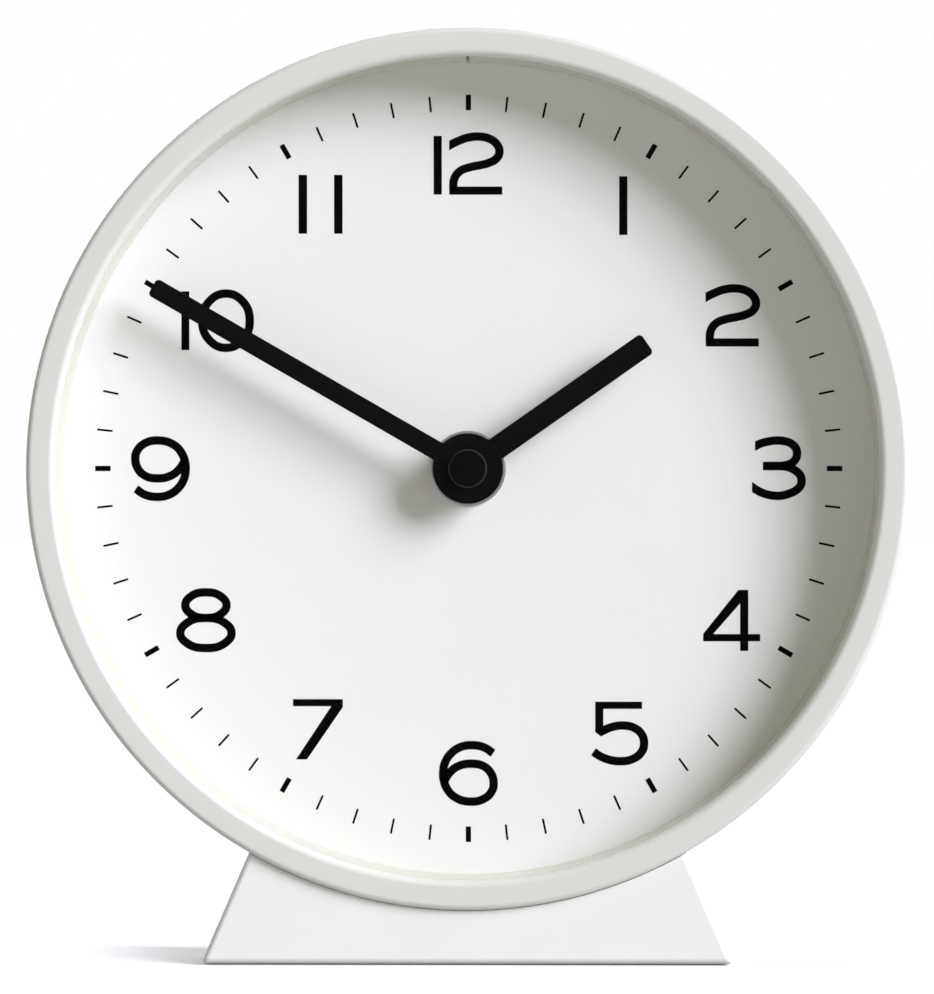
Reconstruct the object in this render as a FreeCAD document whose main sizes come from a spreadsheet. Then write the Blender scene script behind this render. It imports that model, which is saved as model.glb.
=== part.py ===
import FreeCAD
import Part
import os
import re
import Sketcher

# Round desk clock on a plinth: white drum case, deep dial, two black hands and a quartz movement.
# The clock faces -Y and stands on Z = 0. Depths count back from the front plane of the bezel,
# x and z from the axis of the hands unless a name says otherwise, and hand angles run clockwise.

SIZES = {
    # Case
    "case_radius": 87.5,
    "case_depth": 52.0,
    "rim_clearance": 11.0,
    "bezel_width": 5.8,
    "bezel_lip": 2.5,
    "bezel_skirt": 1.5,
    "bezel_depth": 8.0,
    "bezel_outer_round": 1.2,
    "bezel_inner_round": 1.4,
    "joint_gap": 0.2,
    "drum_wall": 3.0,
    "drum_chamfer": 1.2,
    "spigot_gap": 0.1,
    "ledge_width": 4.5,
    "ledge_thickness": 2.5,
    "cover_boss_radius": 5.0,
    "boss_bite": 0.5,
    "lens_thickness": 2.0,
    "lens_gap": 0.3,
    "ring_mouth_inset": 5.6,
    "ring_taper": 0.7,
    "ring_gap": 0.2,
    "ring_split": 0.6,
    "ring_notch_radius": 1.2,
    "dial_thickness": 1.0,
    "overrun": 1.0,
    # Rear cover
    "cover_thickness": 2.5,
    "cover_recess": 3.5,
    "cover_gap": 0.3,
    "cover_chamfer": 0.6,
    "window_gap": 2.0,
    "window_round": 3.0,
    "collar_wall": 1.6,
    "collar_gap": 1.0,
    # Screws
    "cover_screw_count": 4,
    "cover_screw_head_radius": 2.8,
    "cover_screw_head_height": 1.8,
    "cover_screw_radius": 1.3,
    "cover_screw_length": 9.0,
    "base_screw_head_radius": 3.5,
    "base_screw_head_height": 2.5,
    "base_screw_radius": 1.9,
    "base_boss_radius": 5.0,
    "base_boss_height": 6.0,
    "screw_end_gap": 1.0,
    "screw_hole_gap": 0.3,
    "fit_gap": 0.05,
    # Plinth
    "plinth_half_width": 52.5,
    "plinth_lean": 23.4,
    "plinth_inset": 1.6,
    "plinth_wall": 3.0,
    "plinth_round": 1.2,
    "plinth_cheek_share": 0.33,
    "saddle_gap": 0.15,
    "base_plate_thickness": 2.0,
    "base_plate_gap": 0.2,
    "foot_radius": 5.0,
    "foot_thickness": 1.5,
    "foot_proud": 0.3,
    "foot_inset": 4.0,
    # Hands
    "hub_radius": 7.02,
    "minute_tip_gap": 8.7,
    "minute_hand_width": 3.8,
    "minute_hand_thickness": 0.7,
    "minute_hand_angle": 300.0,
    "hour_hand_length": 43.6,
    "hour_hand_width": 4.65,
    "hour_hand_thickness": 0.8,
    "hour_hand_angle": 55.0,
    "hand_corner_round": 0.9,
    "hand_gap": 1.2,
    "cap_radius": 3.87,
    "cap_height": 1.7,
    "cap_chamfer": 0.4,
    "cap_wall": 0.6,
    "lens_clearance": 1.1,
    "collet_radius": 3.4,
    "collet_length": 1.2,
    "collet_gap": 1.0,
    # Movement fixing
    "bush_radius": 4.0,
    "bush_proud": 0.5,
    "bush_hole_gap": 0.1,
    "nut_across": 11.0,
    "nut_thickness": 2.5,
    "washer_radius": 7.55,
    "washer_thickness": 0.8,
    "seal_radius": 9.0,
    "seal_thickness": 0.6,
    # Movement case
    "plate_thickness": 1.2,
    "housing_wall": 1.2,
    "housing_round": 2.0,
    "bay_floor": 1.0,
    "train_clearance": 1.8,
    "coil_clearance": 1.0,
    "pivot_depth": 0.7,
    "pivot_boss_wall": 0.8,
    "bore_gap": 0.08,
    # Arbors
    "arbor_tip_radius": 1.4,
    "minute_arbor_radius": 1.8,
    "hour_pipe_wall": 0.62,
    "seconds_arbor_radius": 0.5,
    "tail_wall": 0.62,
    "tail_proud": 0.5,
    "seconds_arbor_reach": 6.0,
    "third_arbor_radius": 0.4,
    "intermediate_arbor_radius": 0.5,
    "rotor_arbor_radius": 0.4,
    "reversing_arbor_radius": 0.75,
    # Train
    "train_distance": 9.0,
    "motion_offset": 0.6,
    "intermediate_distance": 7.6,
    "rotor_offset": 0.46,
    "wheel_thickness": 0.8,
    "hour_wheel_thickness": 1.0,
    "cannon_length": 1.6,
    "level_gap": 0.4,
    "leaf_overhang": 0.2,
    "pinion_leaves": 6,
    "cannon_leaves": 8,
    "intermediate_teeth": 36,
    "seconds_teeth": 30,
    "third_teeth": 45,
    "centre_teeth": 48,
    "reversing_teeth": 24,
    "hour_teeth": 32,
    "tip_share": 0.7,
    "root_share": 1.1,
    "tooth_root_share": 0.46,
    "tooth_tip_share": 0.16,
    "tooth_bite_share": 0.3,
    # Motor
    "magnet_radius": 2.8,
    "magnet_length": 1.4,
    "stator_thickness": 0.8,
    "stator_air_gap": 0.3,
    "stator_rim": 3.3,
    "stator_gap": 0.9,
    "arm_width": 5.0,
    "bridge_thickness": 1.0,
    "bridge_half_width": 2.2,
    "bridge_round": 0.9,
    "post_radius": 2.0,
    "post_spread": 14.0,
    "bridge_screw_radius": 0.7,
    "bridge_screw_head_radius": 1.6,
    "bridge_screw_head_height": 0.8,
    "bridge_screw_length": 4.5,
    "coil_rise": 7.26,
    "coil_length": 20.0,
    "coil_flange": 0.8,
    "coil_flange_radius": 3.8,
    "winding_radius": 3.3,
    "bobbin_wall": 0.5,
    "core_width": 3.0,
    "core_thickness": 0.8,
    # Battery and circuit
    "cell_radius": 7.1,
    "cell_length": 50.5,
    "cell_nub_radius": 2.7,
    "cell_nub_length": 1.3,
    "cell_chamfer": 0.5,
    "cell_gap": 0.3,
    "cell_proud": 0.3,
    "contact_gap": 0.3,
    "leaf_thickness": 0.4,
    "leaf_bow": 0.45,
    "leaf_width": 8.0,
    "leaf_length": 10.0,
    "board_width": 12.0,
    "board_height": 18.0,
    "board_thickness": 0.8,
    "board_gap": 0.6,
    "board_post_height": 3.0,
    "board_post_radius": 1.6,
    "board_post_share": 0.33,
    "chip_radius": 2.5,
    "chip_height": 1.0,
    "chip_across_share": 0.17,
    "chip_down_share": 0.25,
    "crystal_across_share": 0.25,
    "crystal_radius": 1.0,
    "crystal_length": 6.0,
    # Setting knob
    "knob_radius": 5.0,
    "knob_height": 4.5,
    "knob_gap": 0.3,
    "knob_chamfer": 0.4,
    "flute_radius": 0.55,
    "flute_count": 18,
}

PLACES = {
    # Case, radii and depths
    "axis_height": "case_radius + rim_clearance",
    "rim_inner": "case_radius - bezel_width",
    "skirt_inner": "case_radius - bezel_skirt",
    "drum_inner": "case_radius - drum_wall",
    "drum_front": "bezel_depth + joint_gap",
    "dial_radius": "drum_inner - ring_gap",
    "ring_mouth": "case_radius - ring_mouth_inset",
    "cover_rear": "case_depth - cover_recess",
    "cover_front": "cover_rear - cover_thickness",
    "cover_boss_place": "drum_inner + boss_bite - cover_boss_radius",
    "cover_screw_turn": "180 / cover_screw_count",
    # Front stack, from the lens back to the movement
    "minute_hand_length": "ring_mouth - ring_taper - minute_tip_gap",
    "lens_rear": "bezel_lip + lens_thickness",
    "cap_front": "lens_rear + lens_clearance",
    "minute_front": "cap_front + cap_height",
    "minute_rear": "minute_front + minute_hand_thickness",
    "hour_front": "minute_rear + hand_gap",
    "hour_rear": "hour_front + hour_hand_thickness",
    "collet_rear": "hour_rear + collet_length",
    "bush_front": "collet_rear + collet_gap",
    "nut_front": "bush_front + bush_proud",
    "nut_rear": "nut_front + nut_thickness",
    "dial_front": "nut_rear + washer_thickness",
    "dial_rear": "dial_front + dial_thickness",
    "ledge_rear": "dial_rear + ledge_thickness",
    "plate_front": "dial_rear + seal_thickness",
    "plate_rear": "plate_front + plate_thickness",
    # Train levels
    "hour_wheel_front": "plate_rear + level_gap",
    "hour_wheel_rear": "hour_wheel_front + hour_wheel_thickness",
    "cannon_front": "hour_wheel_rear + level_gap",
    "cannon_rear": "cannon_front + cannon_length",
    "reversing_front": "cannon_front + (cannon_length - wheel_thickness) / 2",
    "reversing_rear": "reversing_front + wheel_thickness",
    "centre_front": "cannon_rear + level_gap",
    "centre_rear": "centre_front + wheel_thickness",
    "tail_rear": "centre_rear + tail_proud",
    "third_front": "tail_rear + level_gap",
    "third_rear": "third_front + wheel_thickness",
    "seconds_front": "third_rear + level_gap",
    "seconds_rear": "seconds_front + wheel_thickness",
    "bridge_rear": "tail_rear + bridge_thickness",
    "stator_front": "bridge_rear + stator_gap",
    "stator_rear": "stator_front + stator_thickness",
    "magnet_front": "stator_front + (stator_thickness - magnet_length) / 2",
    "magnet_rear": "magnet_front + magnet_length",
    "intermediate_front": "max(magnet_rear; seconds_rear) + level_gap",
    "intermediate_rear": "intermediate_front + wheel_thickness",
    "boss_front": "intermediate_rear + 2 * level_gap",
    # Movement case and battery bay
    "bay_front": "plate_rear + bay_floor",
    "cell_depth": "bay_front + cell_gap + cell_radius",
    "housing_rear": "cell_depth + cell_radius - cell_proud",
    "floor_front": "housing_rear - housing_wall",
    "pivot_rear": "floor_front + pivot_depth",
    "inner_half": "cell_length / 2 + contact_gap + 2 * leaf_thickness + leaf_bow",
    "movement_half": "inner_half + housing_wall",
    "cavity_bottom": "-train_distance - train_clearance",
    "bay_top": "cavity_bottom - housing_wall",
    "cell_height": "bay_top - cell_gap - cell_radius",
    "bay_bottom": "cell_height - cell_radius - cell_gap",
    "movement_bottom": "bay_bottom - housing_wall",
    "rotor_distance": "intermediate_distance - rotor_offset",
    "rotor_height": "intermediate_distance + rotor_distance",
    "coil_height": "rotor_height + coil_rise",
    "cavity_top": "coil_height + coil_flange_radius + coil_clearance",
    "movement_top": "cavity_top + housing_wall",
    "core_depth": "stator_rear + core_thickness / 2",
    "bobbin_inner": "sqrt(core_width * core_width + core_thickness * core_thickness) / 2 + fit_gap",
    "motion_distance": "train_distance + motion_offset",
    "knob_front": "housing_rear + knob_gap",
    "knob_rear": "knob_front + knob_height",
    "arbor_end": "knob_front + knob_height / 2",
    "collar_front": "housing_rear + collar_gap",
    "board_front": "floor_front - board_post_height - board_thickness",
    "board_place": "inner_half - board_gap - board_width / 2",
    # Bores
    "hour_bore": "minute_arbor_radius + bore_gap",
    "hour_pipe_radius": "hour_bore + hour_pipe_wall",
    "bush_bore": "hour_pipe_radius + bore_gap",
    "seconds_bore": "seconds_arbor_radius + bore_gap",
    "tail_radius": "seconds_bore + tail_wall",
    # Modules of the gear pairs
    "reversing_module": "2 * motion_distance / (cannon_leaves + reversing_teeth)",
    "hour_module": "2 * motion_distance / (cannon_leaves + hour_teeth)",
    "centre_module": "2 * train_distance / (pinion_leaves + centre_teeth)",
    "third_module": "2 * train_distance / (pinion_leaves + third_teeth)",
    "seconds_module": "2 * intermediate_distance / (pinion_leaves + seconds_teeth)",
    "intermediate_module": "2 * rotor_distance / (pinion_leaves + intermediate_teeth)",
    # Turns that set a tooth of one wheel in a gap of the next; each line of centres has its angle
    "reversing_turn": "90 + 180 - 180 / reversing_teeth + 90 * cannon_leaves / reversing_teeth",
    "hour_turn": "270 + 180 - 180 / hour_teeth - (reversing_turn - 270) * cannon_leaves / hour_teeth",
    "intermediate_turn": "180 + 180 - 180 / intermediate_teeth + 180 * pinion_leaves / intermediate_teeth",
    "seconds_turn": "180 + 180 - 180 / seconds_teeth - (intermediate_turn - 180) * pinion_leaves / seconds_teeth",
    "third_turn": "270 + 180 - 180 / third_teeth - (seconds_turn - 270) * pinion_leaves / third_teeth",
    "centre_turn": "90 + 180 - 180 / centre_teeth - (third_turn - 90) * pinion_leaves / centre_teeth",
    # Plinth, heights above the ground
    "saddle_radius": "case_radius + saddle_gap",
    "plinth_rear": "case_depth - plinth_inset",
    "plinth_blank_top": "rim_clearance + plinth_half_width * plinth_cheek_share",
    "plinth_blank_half": "plinth_half_width - (plinth_blank_top - foot_proud) * tan(plinth_lean)",
    "wall_run": "plinth_wall / cos(plinth_lean)",
    "lean": "tan(plinth_lean)",
    "cavity_half": "plinth_half_width - wall_run + foot_proud * lean",
    "cavity_arch": "saddle_radius + plinth_wall",
    "cavity_reach": "cavity_half * lean + axis_height",
    "cavity_square": "cavity_half * cavity_half + axis_height * axis_height - cavity_arch * cavity_arch",
    "cavity_root": "sqrt(cavity_reach * cavity_reach - (1 + lean * lean) * cavity_square)",
    "cavity_meet_height": "(cavity_reach - cavity_root) / (1 + lean * lean)",
    "cavity_meet_half": "cavity_half - cavity_meet_height * lean",
    "plate_half": "plinth_half_width - wall_run - base_plate_thickness * tan(plinth_lean) - base_plate_gap",
    "saddle_under": "axis_height - saddle_radius - plinth_wall",
    "base_screw_depth_front": "ledge_rear + base_boss_radius + screw_end_gap",
    "base_screw_depth_rear": "cover_front - base_boss_radius - screw_end_gap",
    "base_screw_top": "axis_height - drum_inner + base_boss_height - screw_end_gap",
}

document = FreeCAD.newDocument("DeskClock")
sizes = document.addObject("Spreadsheet::Sheet", "Sizes")
places = document.addObject("Spreadsheet::Sheet", "Places")
pieces = []


def with_sheets(text, own=()):
    """The formula with the sheet's name before each size that lives in another sheet."""
    def full_name(match):
        word = match.group(0)
        if word in own:
            return word
        if word in SIZES:
            return "Sizes." + word
        if word in PLACES:
            return "Places." + word
        return word
    return re.sub(r"[a-z_]+", full_name, text)


def fill_sheets():
    """Driving sizes as plain numbers, and beside them the places worked out from them."""
    for row, (name, size) in enumerate(SIZES.items(), start=1):
        sizes.set(f"A{row}", str(size))
        sizes.setAlias(f"A{row}", name)
    for row, (name, formula) in enumerate(PLACES.items(), start=1):
        places.set(f"A{row}", "=" + with_sheets(formula, own=PLACES))
        places.setAlias(f"A{row}", name)
    document.recompute()


def bind(item, key, formula):
    item.setExpression(key, with_sheets(formula))


def number(formula):
    return float(sizes.evalExpression(with_sheets(formula)))


# Building blocks

def put(item, x="0", depth="0", z="axis_height", axis="0; 1; 0", turn="0"):
    """Place an item at x, a depth behind the front plane and a height, turned about an axis."""
    y = f"({depth}) - case_depth / 2"
    bind(item, "Placement", f"placement(vector({x}; {y}; {z}); rotation(vector({axis}); {turn}))")


def new_body(label, **place):
    body = document.addObject("PartDesign::Body", label)
    put(body, **place)
    pieces.append(body)
    return body


def origin_plane(body, role):
    return next(item for item in body.Origin.OriginFeatures if item.Role == role)


def new_sketch(body, name, plane, at):
    """Sketch on an origin plane; the XZ plane looks to the front, so depths behind it are negative."""
    sketch = body.newObject("Sketcher::SketchObject", name)
    sketch.AttachmentSupport = [(origin_plane(body, plane), "")]
    sketch.MapMode = "FlatFace"
    bind(sketch, "AttachmentOffset.Base.z", f"-({at})" if plane == "XZ_Plane" else at)
    return sketch


def pin(sketch, kind, item, point, formula):
    """Hold one coordinate of a point at a size."""
    held = sketch.addConstraint(Sketcher.Constraint(kind, -1, 1, item, point, number(formula)))
    bind(sketch, f"Constraints[{held}]", formula)


def hold_radius(sketch, item, formula):
    held = sketch.addConstraint(Sketcher.Constraint("Radius", item, number(formula)))
    bind(sketch, f"Constraints[{held}]", formula)


def outline(body, name, plane, corners, at="0"):
    """Closed outline of straight sides; a corner with a third value is rounded by it."""
    sketch = new_sketch(body, name, plane, at)
    points = [FreeCAD.Vector(number(corner[0]), number(corner[1]), 0) for corner in corners]
    sides = []
    for index, start in enumerate(points):
        end = points[(index + 1) % len(points)]
        sides.append(sketch.addGeometry(Part.LineSegment(start, end), False))
    for index, side in enumerate(sides):
        after = sides[(index + 1) % len(sides)]
        sketch.addConstraint(Sketcher.Constraint("Coincident", side, 2, after, 1))
    for side, corner in zip(sides, corners):
        pin(sketch, "DistanceX", side, 1, corner[0])
        pin(sketch, "DistanceY", side, 1, corner[1])
    for side, corner in zip(sides, corners):
        if len(corner) > 2:
            sketch.fillet(side, 1, number(corner[2]), True, True)
            arcs = [k for k, shape in enumerate(sketch.Geometry) if isinstance(shape, Part.ArcOfCircle)]
            hold_radius(sketch, arcs[-1], corner[2])
    return sketch


def rounds(body, name, plane, circles, at="0"):
    """Sketch of circles, each given by its centre and radius."""
    sketch = new_sketch(body, name, plane, at)
    for x, y, radius in circles:
        centre = FreeCAD.Vector(number(x), number(y), 0)
        circle = Part.Circle(centre, FreeCAD.Vector(0, 0, 1), number(radius))
        item = sketch.addGeometry(circle, False)
        pin(sketch, "DistanceX", item, 3, x)
        pin(sketch, "DistanceY", item, 3, y)
        hold_radius(sketch, item, radius)
    return sketch


def rectangle(x0, x1, y0, y1, corner=None):
    corners = [(x0, y0), (x1, y0), (x1, y1), (x0, y1)]
    return [point + (corner,) for point in corners] if corner else corners


def swept(body, kind, sketch, length, reverse):
    feature = body.newObject(kind, f"{body.Name}_{sketch.Name}_{kind[12:].lower()}")
    feature.Profile = sketch
    feature.Reversed = reverse
    bind(feature, "Length", length)
    return feature


def pad(body, sketch, length, reverse=True):
    """Raise a sketch; on the XZ plane the reversed side is the rear."""
    return swept(body, "PartDesign::Pad", sketch, length, reverse)


def pocket(body, sketch, length, reverse=False):
    """Cut a sketch; on the XZ plane the plain side is the rear."""
    document.recompute()
    before = body.Shape.Volume
    feature = swept(body, "PartDesign::Pocket", sketch, length, reverse)
    document.recompute()
    if feature.Shape.Volume >= before:
        raise RuntimeError(f"{feature.Label} cuts nothing")
    return feature


def revolve(body, sketch, axis="V_Axis"):
    feature = body.newObject("PartDesign::Revolution", f"{body.Name}_turned")
    feature.Profile = sketch
    feature.ReferenceAxis = (sketch, [axis])
    feature.Angle = 360
    return feature


def around(body, feature, count):
    """Repeat a feature around the body's own Y axis."""
    document.recompute()
    pattern = body.newObject("PartDesign::PolarPattern", f"{feature.Name}_ring")
    pattern.Originals = [feature]
    pattern.Axis = (origin_plane(body, "Y_Axis"), [""])
    pattern.Angle = 360
    bind(pattern, "Occurrences", count)
    body.Tip = pattern
    document.recompute()
    return pattern


def fillet(body, wanted, radius):
    """Round the edges of the body's last feature whose middle point passes the test."""
    document.recompute()
    base = body.Tip
    names = []
    for index, edge in enumerate(base.Shape.Edges, start=1):
        middle = edge.valueAt((edge.FirstParameter + edge.LastParameter) / 2)
        if wanted(edge, middle):
            names.append(f"Edge{index}")
    feature = body.newObject("PartDesign::Fillet", f"{body.Name}_rounding")
    feature.Base = (base, names)
    bind(feature, "Radius", radius)
    document.recompute()
    return feature


def cylinder(name, radius, length, **place):
    item = document.addObject("Part::Cylinder", name)
    bind(item, "Radius", radius)
    bind(item, "Height", length)
    put(item, **place)
    return item


# A cylinder or prism stands along Z until this turn lays it along the clock's axis
TO_REAR = {"axis": "1; 0; 0", "turn": "-90"}


def joined(label, kind, members):
    item = document.addObject(kind, label)
    if kind == "Part::Compound":
        item.Links = members
    elif kind == "Part::Cut":
        item.Base, item.Tool = members
    else:
        item.Shapes = members
    return item


def toothed(body, name, front, rear, teeth, module):
    """Disc with straight-sided teeth around it, from one depth to another."""
    root = f"{module} * ({teeth} / 2 - root_share)"
    tip = f"{module} * ({teeth} / 2 + tip_share)"
    half_root = f"{module} * pi * tooth_root_share / 2"
    half_tip = f"{module} * pi * tooth_tip_share / 2"
    foot = f"({root}) - {module} * tooth_bite_share"
    length = f"({rear}) - ({front})"
    pad(body, rounds(body, f"{name}_disc", "XZ_Plane", [("0", "0", root)], front), length)
    corners = [
        (f"-({half_root})", foot),
        (f"-({half_root})", root),
        (f"-({half_tip})", tip),
        (half_tip, tip),
        (half_root, root),
        (half_root, foot),
    ]
    tooth = pad(body, outline(body, f"{name}_tooth", "XZ_Plane", corners, front), length)
    around(body, tooth, teeth)


def shaft(body, name, radius, front, rear):
    pad(body, rounds(body, name, "XZ_Plane", [("0", "0", radius)], front), f"({rear}) - ({front})")


def bore(body, name, radius, front, rear):
    pocket(body, rounds(body, name, "XZ_Plane", [("0", "0", radius)], front), f"({rear}) - ({front})")


# Case

def front_bezel():
    body = new_body("front_bezel")
    revolve(body, outline(body, "bezel_profile", "XY_Plane", [
        ("rim_inner", "0", "bezel_inner_round"),
        ("case_radius", "0", "bezel_outer_round"),
        ("case_radius", "bezel_depth"),
        ("skirt_inner", "bezel_depth"),
        ("skirt_inner", "bezel_lip"),
        ("rim_inner", "bezel_lip"),
    ]))


def lens():
    item = cylinder("lens", "skirt_inner - lens_gap", "lens_thickness", depth="bezel_lip", **TO_REAR)
    pieces.append(item)


def reflector_ring():
    """White spacer between the lens and the dial, split and notched at twelve."""
    body = new_body("reflector_ring")
    revolve(body, outline(body, "ring_profile", "XY_Plane", [
        ("ring_mouth", "lens_rear"),
        ("dial_radius", "lens_rear"),
        ("dial_radius", "dial_front"),
        ("ring_mouth - ring_taper", "dial_front"),
    ]))
    cut = rectangle("-ring_split / 2", "ring_split / 2", "0", "case_radius")
    pocket(body, outline(body, "ring_cut", "XZ_Plane", cut, "0"), "dial_front + overrun")
    notch = rounds(body, "ring_notch", "XZ_Plane", [("0", "ring_mouth", "ring_notch_radius")], "0")
    pocket(body, notch, "lens_rear + ring_notch_radius")


def dial_plate():
    body = new_body("dial_plate")
    circles = [("0", "0", "dial_radius"), ("0", "0", "bush_radius + bush_hole_gap")]
    pad(body, rounds(body, "dial_disc", "XZ_Plane", circles, "dial_front"), "dial_thickness")


def case_drum():
    """Tube with a spigot for the bezel, a ledge for the dial, and bosses for cover and plinth."""
    body = new_body("case_drum")
    revolve(body, outline(body, "drum_profile", "XY_Plane", [
        ("drum_inner", "lens_rear"),
        ("skirt_inner - spigot_gap", "lens_rear"),
        ("skirt_inner - spigot_gap", "drum_front"),
        ("case_radius", "drum_front"),
        ("case_radius", "case_depth - drum_chamfer"),
        ("case_radius - drum_chamfer", "case_depth"),
        ("drum_inner", "case_depth"),
        ("drum_inner", "ledge_rear"),
        ("drum_inner - ledge_width", "ledge_rear"),
        ("drum_inner - ledge_width", "dial_rear"),
        ("drum_inner", "dial_rear"),
    ]))
    place = ("cover_boss_place * sin(cover_screw_turn)", "cover_boss_place * cos(cover_screw_turn)")
    boss = rounds(body, "cover_boss", "XZ_Plane", [place + ("cover_boss_radius",)], "dial_rear")
    around(body, pad(body, boss, "cover_front - dial_rear"), "cover_screw_count")
    pilot = rounds(body, "cover_pilot", "XZ_Plane", [place + ("cover_screw_radius + fit_gap",)],
                   "cover_front - cover_screw_length")
    around(body, pocket(body, pilot, "cover_screw_length + overrun"), "cover_screw_count")
    depths = ("base_screw_depth_front", "base_screw_depth_rear")
    top = "base_boss_height - drum_inner"
    seats = rounds(body, "base_bosses", "XY_Plane", [("0", depth, "base_boss_radius") for depth in depths], top)
    pad(body, seats, "base_boss_height + drum_wall / 2")
    holes = rounds(body, "base_pilots", "XY_Plane",
                   [("0", depth, "base_screw_radius + fit_gap") for depth in depths], top)
    pocket(body, holes, "base_boss_height + drum_wall + overrun")


def back_cover():
    """Disc with a collared window that the movement's rear shows through."""
    body = new_body("back_cover")
    revolve(body, outline(body, "cover_profile", "XY_Plane", [
        ("0", "cover_front"),
        ("drum_inner - cover_gap", "cover_front"),
        ("drum_inner - cover_gap", "cover_rear - cover_chamfer"),
        ("drum_inner - cover_gap - cover_chamfer", "cover_rear"),
        ("0", "cover_rear"),
    ]))
    window = ("-movement_half - window_gap", "movement_half + window_gap",
              "movement_bottom - window_gap", "movement_top + window_gap")
    collar = ("-movement_half - window_gap - collar_wall", "movement_half + window_gap + collar_wall",
              "movement_bottom - window_gap - collar_wall", "movement_top + window_gap + collar_wall")
    frame = outline(body, "collar", "XZ_Plane", rectangle(*collar, "window_round + collar_wall"), "collar_front")
    pad(body, frame, "cover_front + cover_thickness / 2 - collar_front")
    pocket(body, outline(body, "window", "XZ_Plane", rectangle(*window, "window_round"),
                         "collar_front - overrun"), "cover_rear - collar_front + 2 * overrun")
    place = ("cover_boss_place * sin(cover_screw_turn)", "cover_boss_place * cos(cover_screw_turn)")
    hole = rounds(body, "cover_hole", "XZ_Plane", [place + ("cover_screw_radius + screw_hole_gap",)],
                  "cover_front - overrun")
    around(body, pocket(body, hole, "cover_thickness + 2 * overrun"), "cover_screw_count")


def back_cover_screws():
    screws = []
    for place in range(SIZES["cover_screw_count"]):
        x = f"cover_boss_place * sin({place} * 2 * cover_screw_turn + cover_screw_turn)"
        z = f"axis_height + cover_boss_place * cos({place} * 2 * cover_screw_turn + cover_screw_turn)"
        head = cylinder(f"cover_screw_head_{place}", "cover_screw_head_radius", "cover_screw_head_height",
                        x=x, z=z, depth="cover_rear", **TO_REAR)
        shank = cylinder(f"cover_screw_shank_{place}", "cover_screw_radius", "cover_screw_length",
                         x=x, z=z, depth="cover_rear - cover_screw_length", **TO_REAR)
        screws.append(joined(f"cover_screw_{place}", "Part::MultiFuse", [head, shank]))
    pieces.append(joined("back_cover_screws", "Part::Compound", screws))


# Plinth

def base_plinth():
    """Hollow foot with leaning ends and a saddle that the drum lies in."""
    body = new_body("base_plinth", z="0")
    blank = outline(body, "plinth_blank", "XZ_Plane", [
        ("-plinth_half_width", "foot_proud"),
        ("plinth_half_width", "foot_proud"),
        ("plinth_blank_half", "plinth_blank_top"),
        ("-plinth_blank_half", "plinth_blank_top"),
    ], "plinth_inset")
    pad(body, blank, "plinth_rear - plinth_inset")
    below_top = number("plinth_blank_top - fit_gap")
    fillet(body, lambda edge, middle: middle.z < below_top, "plinth_round")
    saddle = rounds(body, "saddle", "XZ_Plane", [("0", "axis_height", "saddle_radius")], "0")
    pocket(body, saddle, "case_depth")
    pocket(body, cavity_outline(body), "plinth_rear - plinth_inset - 2 * plinth_wall")
    depths = ("base_screw_depth_front", "base_screw_depth_rear")
    holes = rounds(body, "saddle_holes", "XY_Plane",
                   [("0", depth, "base_screw_radius + screw_hole_gap") for depth in depths],
                   "axis_height - case_radius + overrun")
    pocket(body, holes, "plinth_wall + 2 * overrun")


def cavity_outline(body):
    """Inside of the plinth: floor line, two leaning sides and the underside of the saddle."""
    sketch = new_sketch(body, "plinth_cavity", "XZ_Plane", "plinth_inset + plinth_wall")
    points = [("-cavity_half", "0"), ("cavity_half", "0"),
              ("cavity_meet_half", "cavity_meet_height"), ("-cavity_meet_half", "cavity_meet_height")]
    left, right, high_right, high_left = [FreeCAD.Vector(number(x), number(z), 0) for x, z in points]
    middle = FreeCAD.Vector(0, number("saddle_under"), 0)
    arch = sketch.addGeometry(Part.Arc(high_left, middle, high_right), False)
    floor = sketch.addGeometry(Part.LineSegment(left, right), False)
    near = sketch.addGeometry(Part.LineSegment(right, high_right), False)
    far = sketch.addGeometry(Part.LineSegment(high_left, left), False)
    sketch.addConstraint(Sketcher.Constraint("Coincident", floor, 2, near, 1))
    sketch.addConstraint(Sketcher.Constraint("Coincident", near, 2, arch, 2))
    sketch.addConstraint(Sketcher.Constraint("Coincident", arch, 1, far, 1))
    sketch.addConstraint(Sketcher.Constraint("Coincident", far, 2, floor, 1))
    for item, (x, z) in ((floor, points[0]), (near, points[1])):
        pin(sketch, "DistanceX", item, 1, x)
        pin(sketch, "DistanceY", item, 1, z)
    pin(sketch, "DistanceX", near, 2, "cavity_meet_half")
    pin(sketch, "DistanceX", far, 1, "-cavity_meet_half")
    pin(sketch, "DistanceX", arch, 3, "0")
    pin(sketch, "DistanceY", arch, 3, "axis_height")
    hold_radius(sketch, arch, "saddle_radius + plinth_wall")
    return sketch


def base_plate():
    body = new_body("base_plate", z="0")
    gap = "plinth_inset + plinth_wall + base_plate_gap"
    plan = rectangle("-plate_half", "plate_half", gap, f"case_depth - ({gap})")
    pad(body, outline(body, "plate_plan", "XY_Plane", plan, "foot_proud"), "base_plate_thickness", False)
    spots = [(x, y, "foot_radius + fit_gap") for x, y in foot_spots()]
    recess = rounds(body, "foot_recess", "XY_Plane", spots, "foot_thickness")
    pocket(body, recess, "foot_thickness")


def foot_spots():
    """Plan places of the four feet, x and depth."""
    x = "plate_half - foot_inset - foot_radius"
    near = "plinth_inset + plinth_wall + base_plate_gap + foot_inset + foot_radius"
    return [(f"{side}({x})", y) for side in ("", "-") for y in (near, f"case_depth - ({near})")]


def base_feet():
    feet = []
    for place, (x, depth) in enumerate(foot_spots()):
        feet.append(cylinder(f"foot_{place}", "foot_radius", "foot_thickness", x=x, depth=depth, z="0"))
    pieces.append(joined("base_feet", "Part::Compound", feet))


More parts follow.
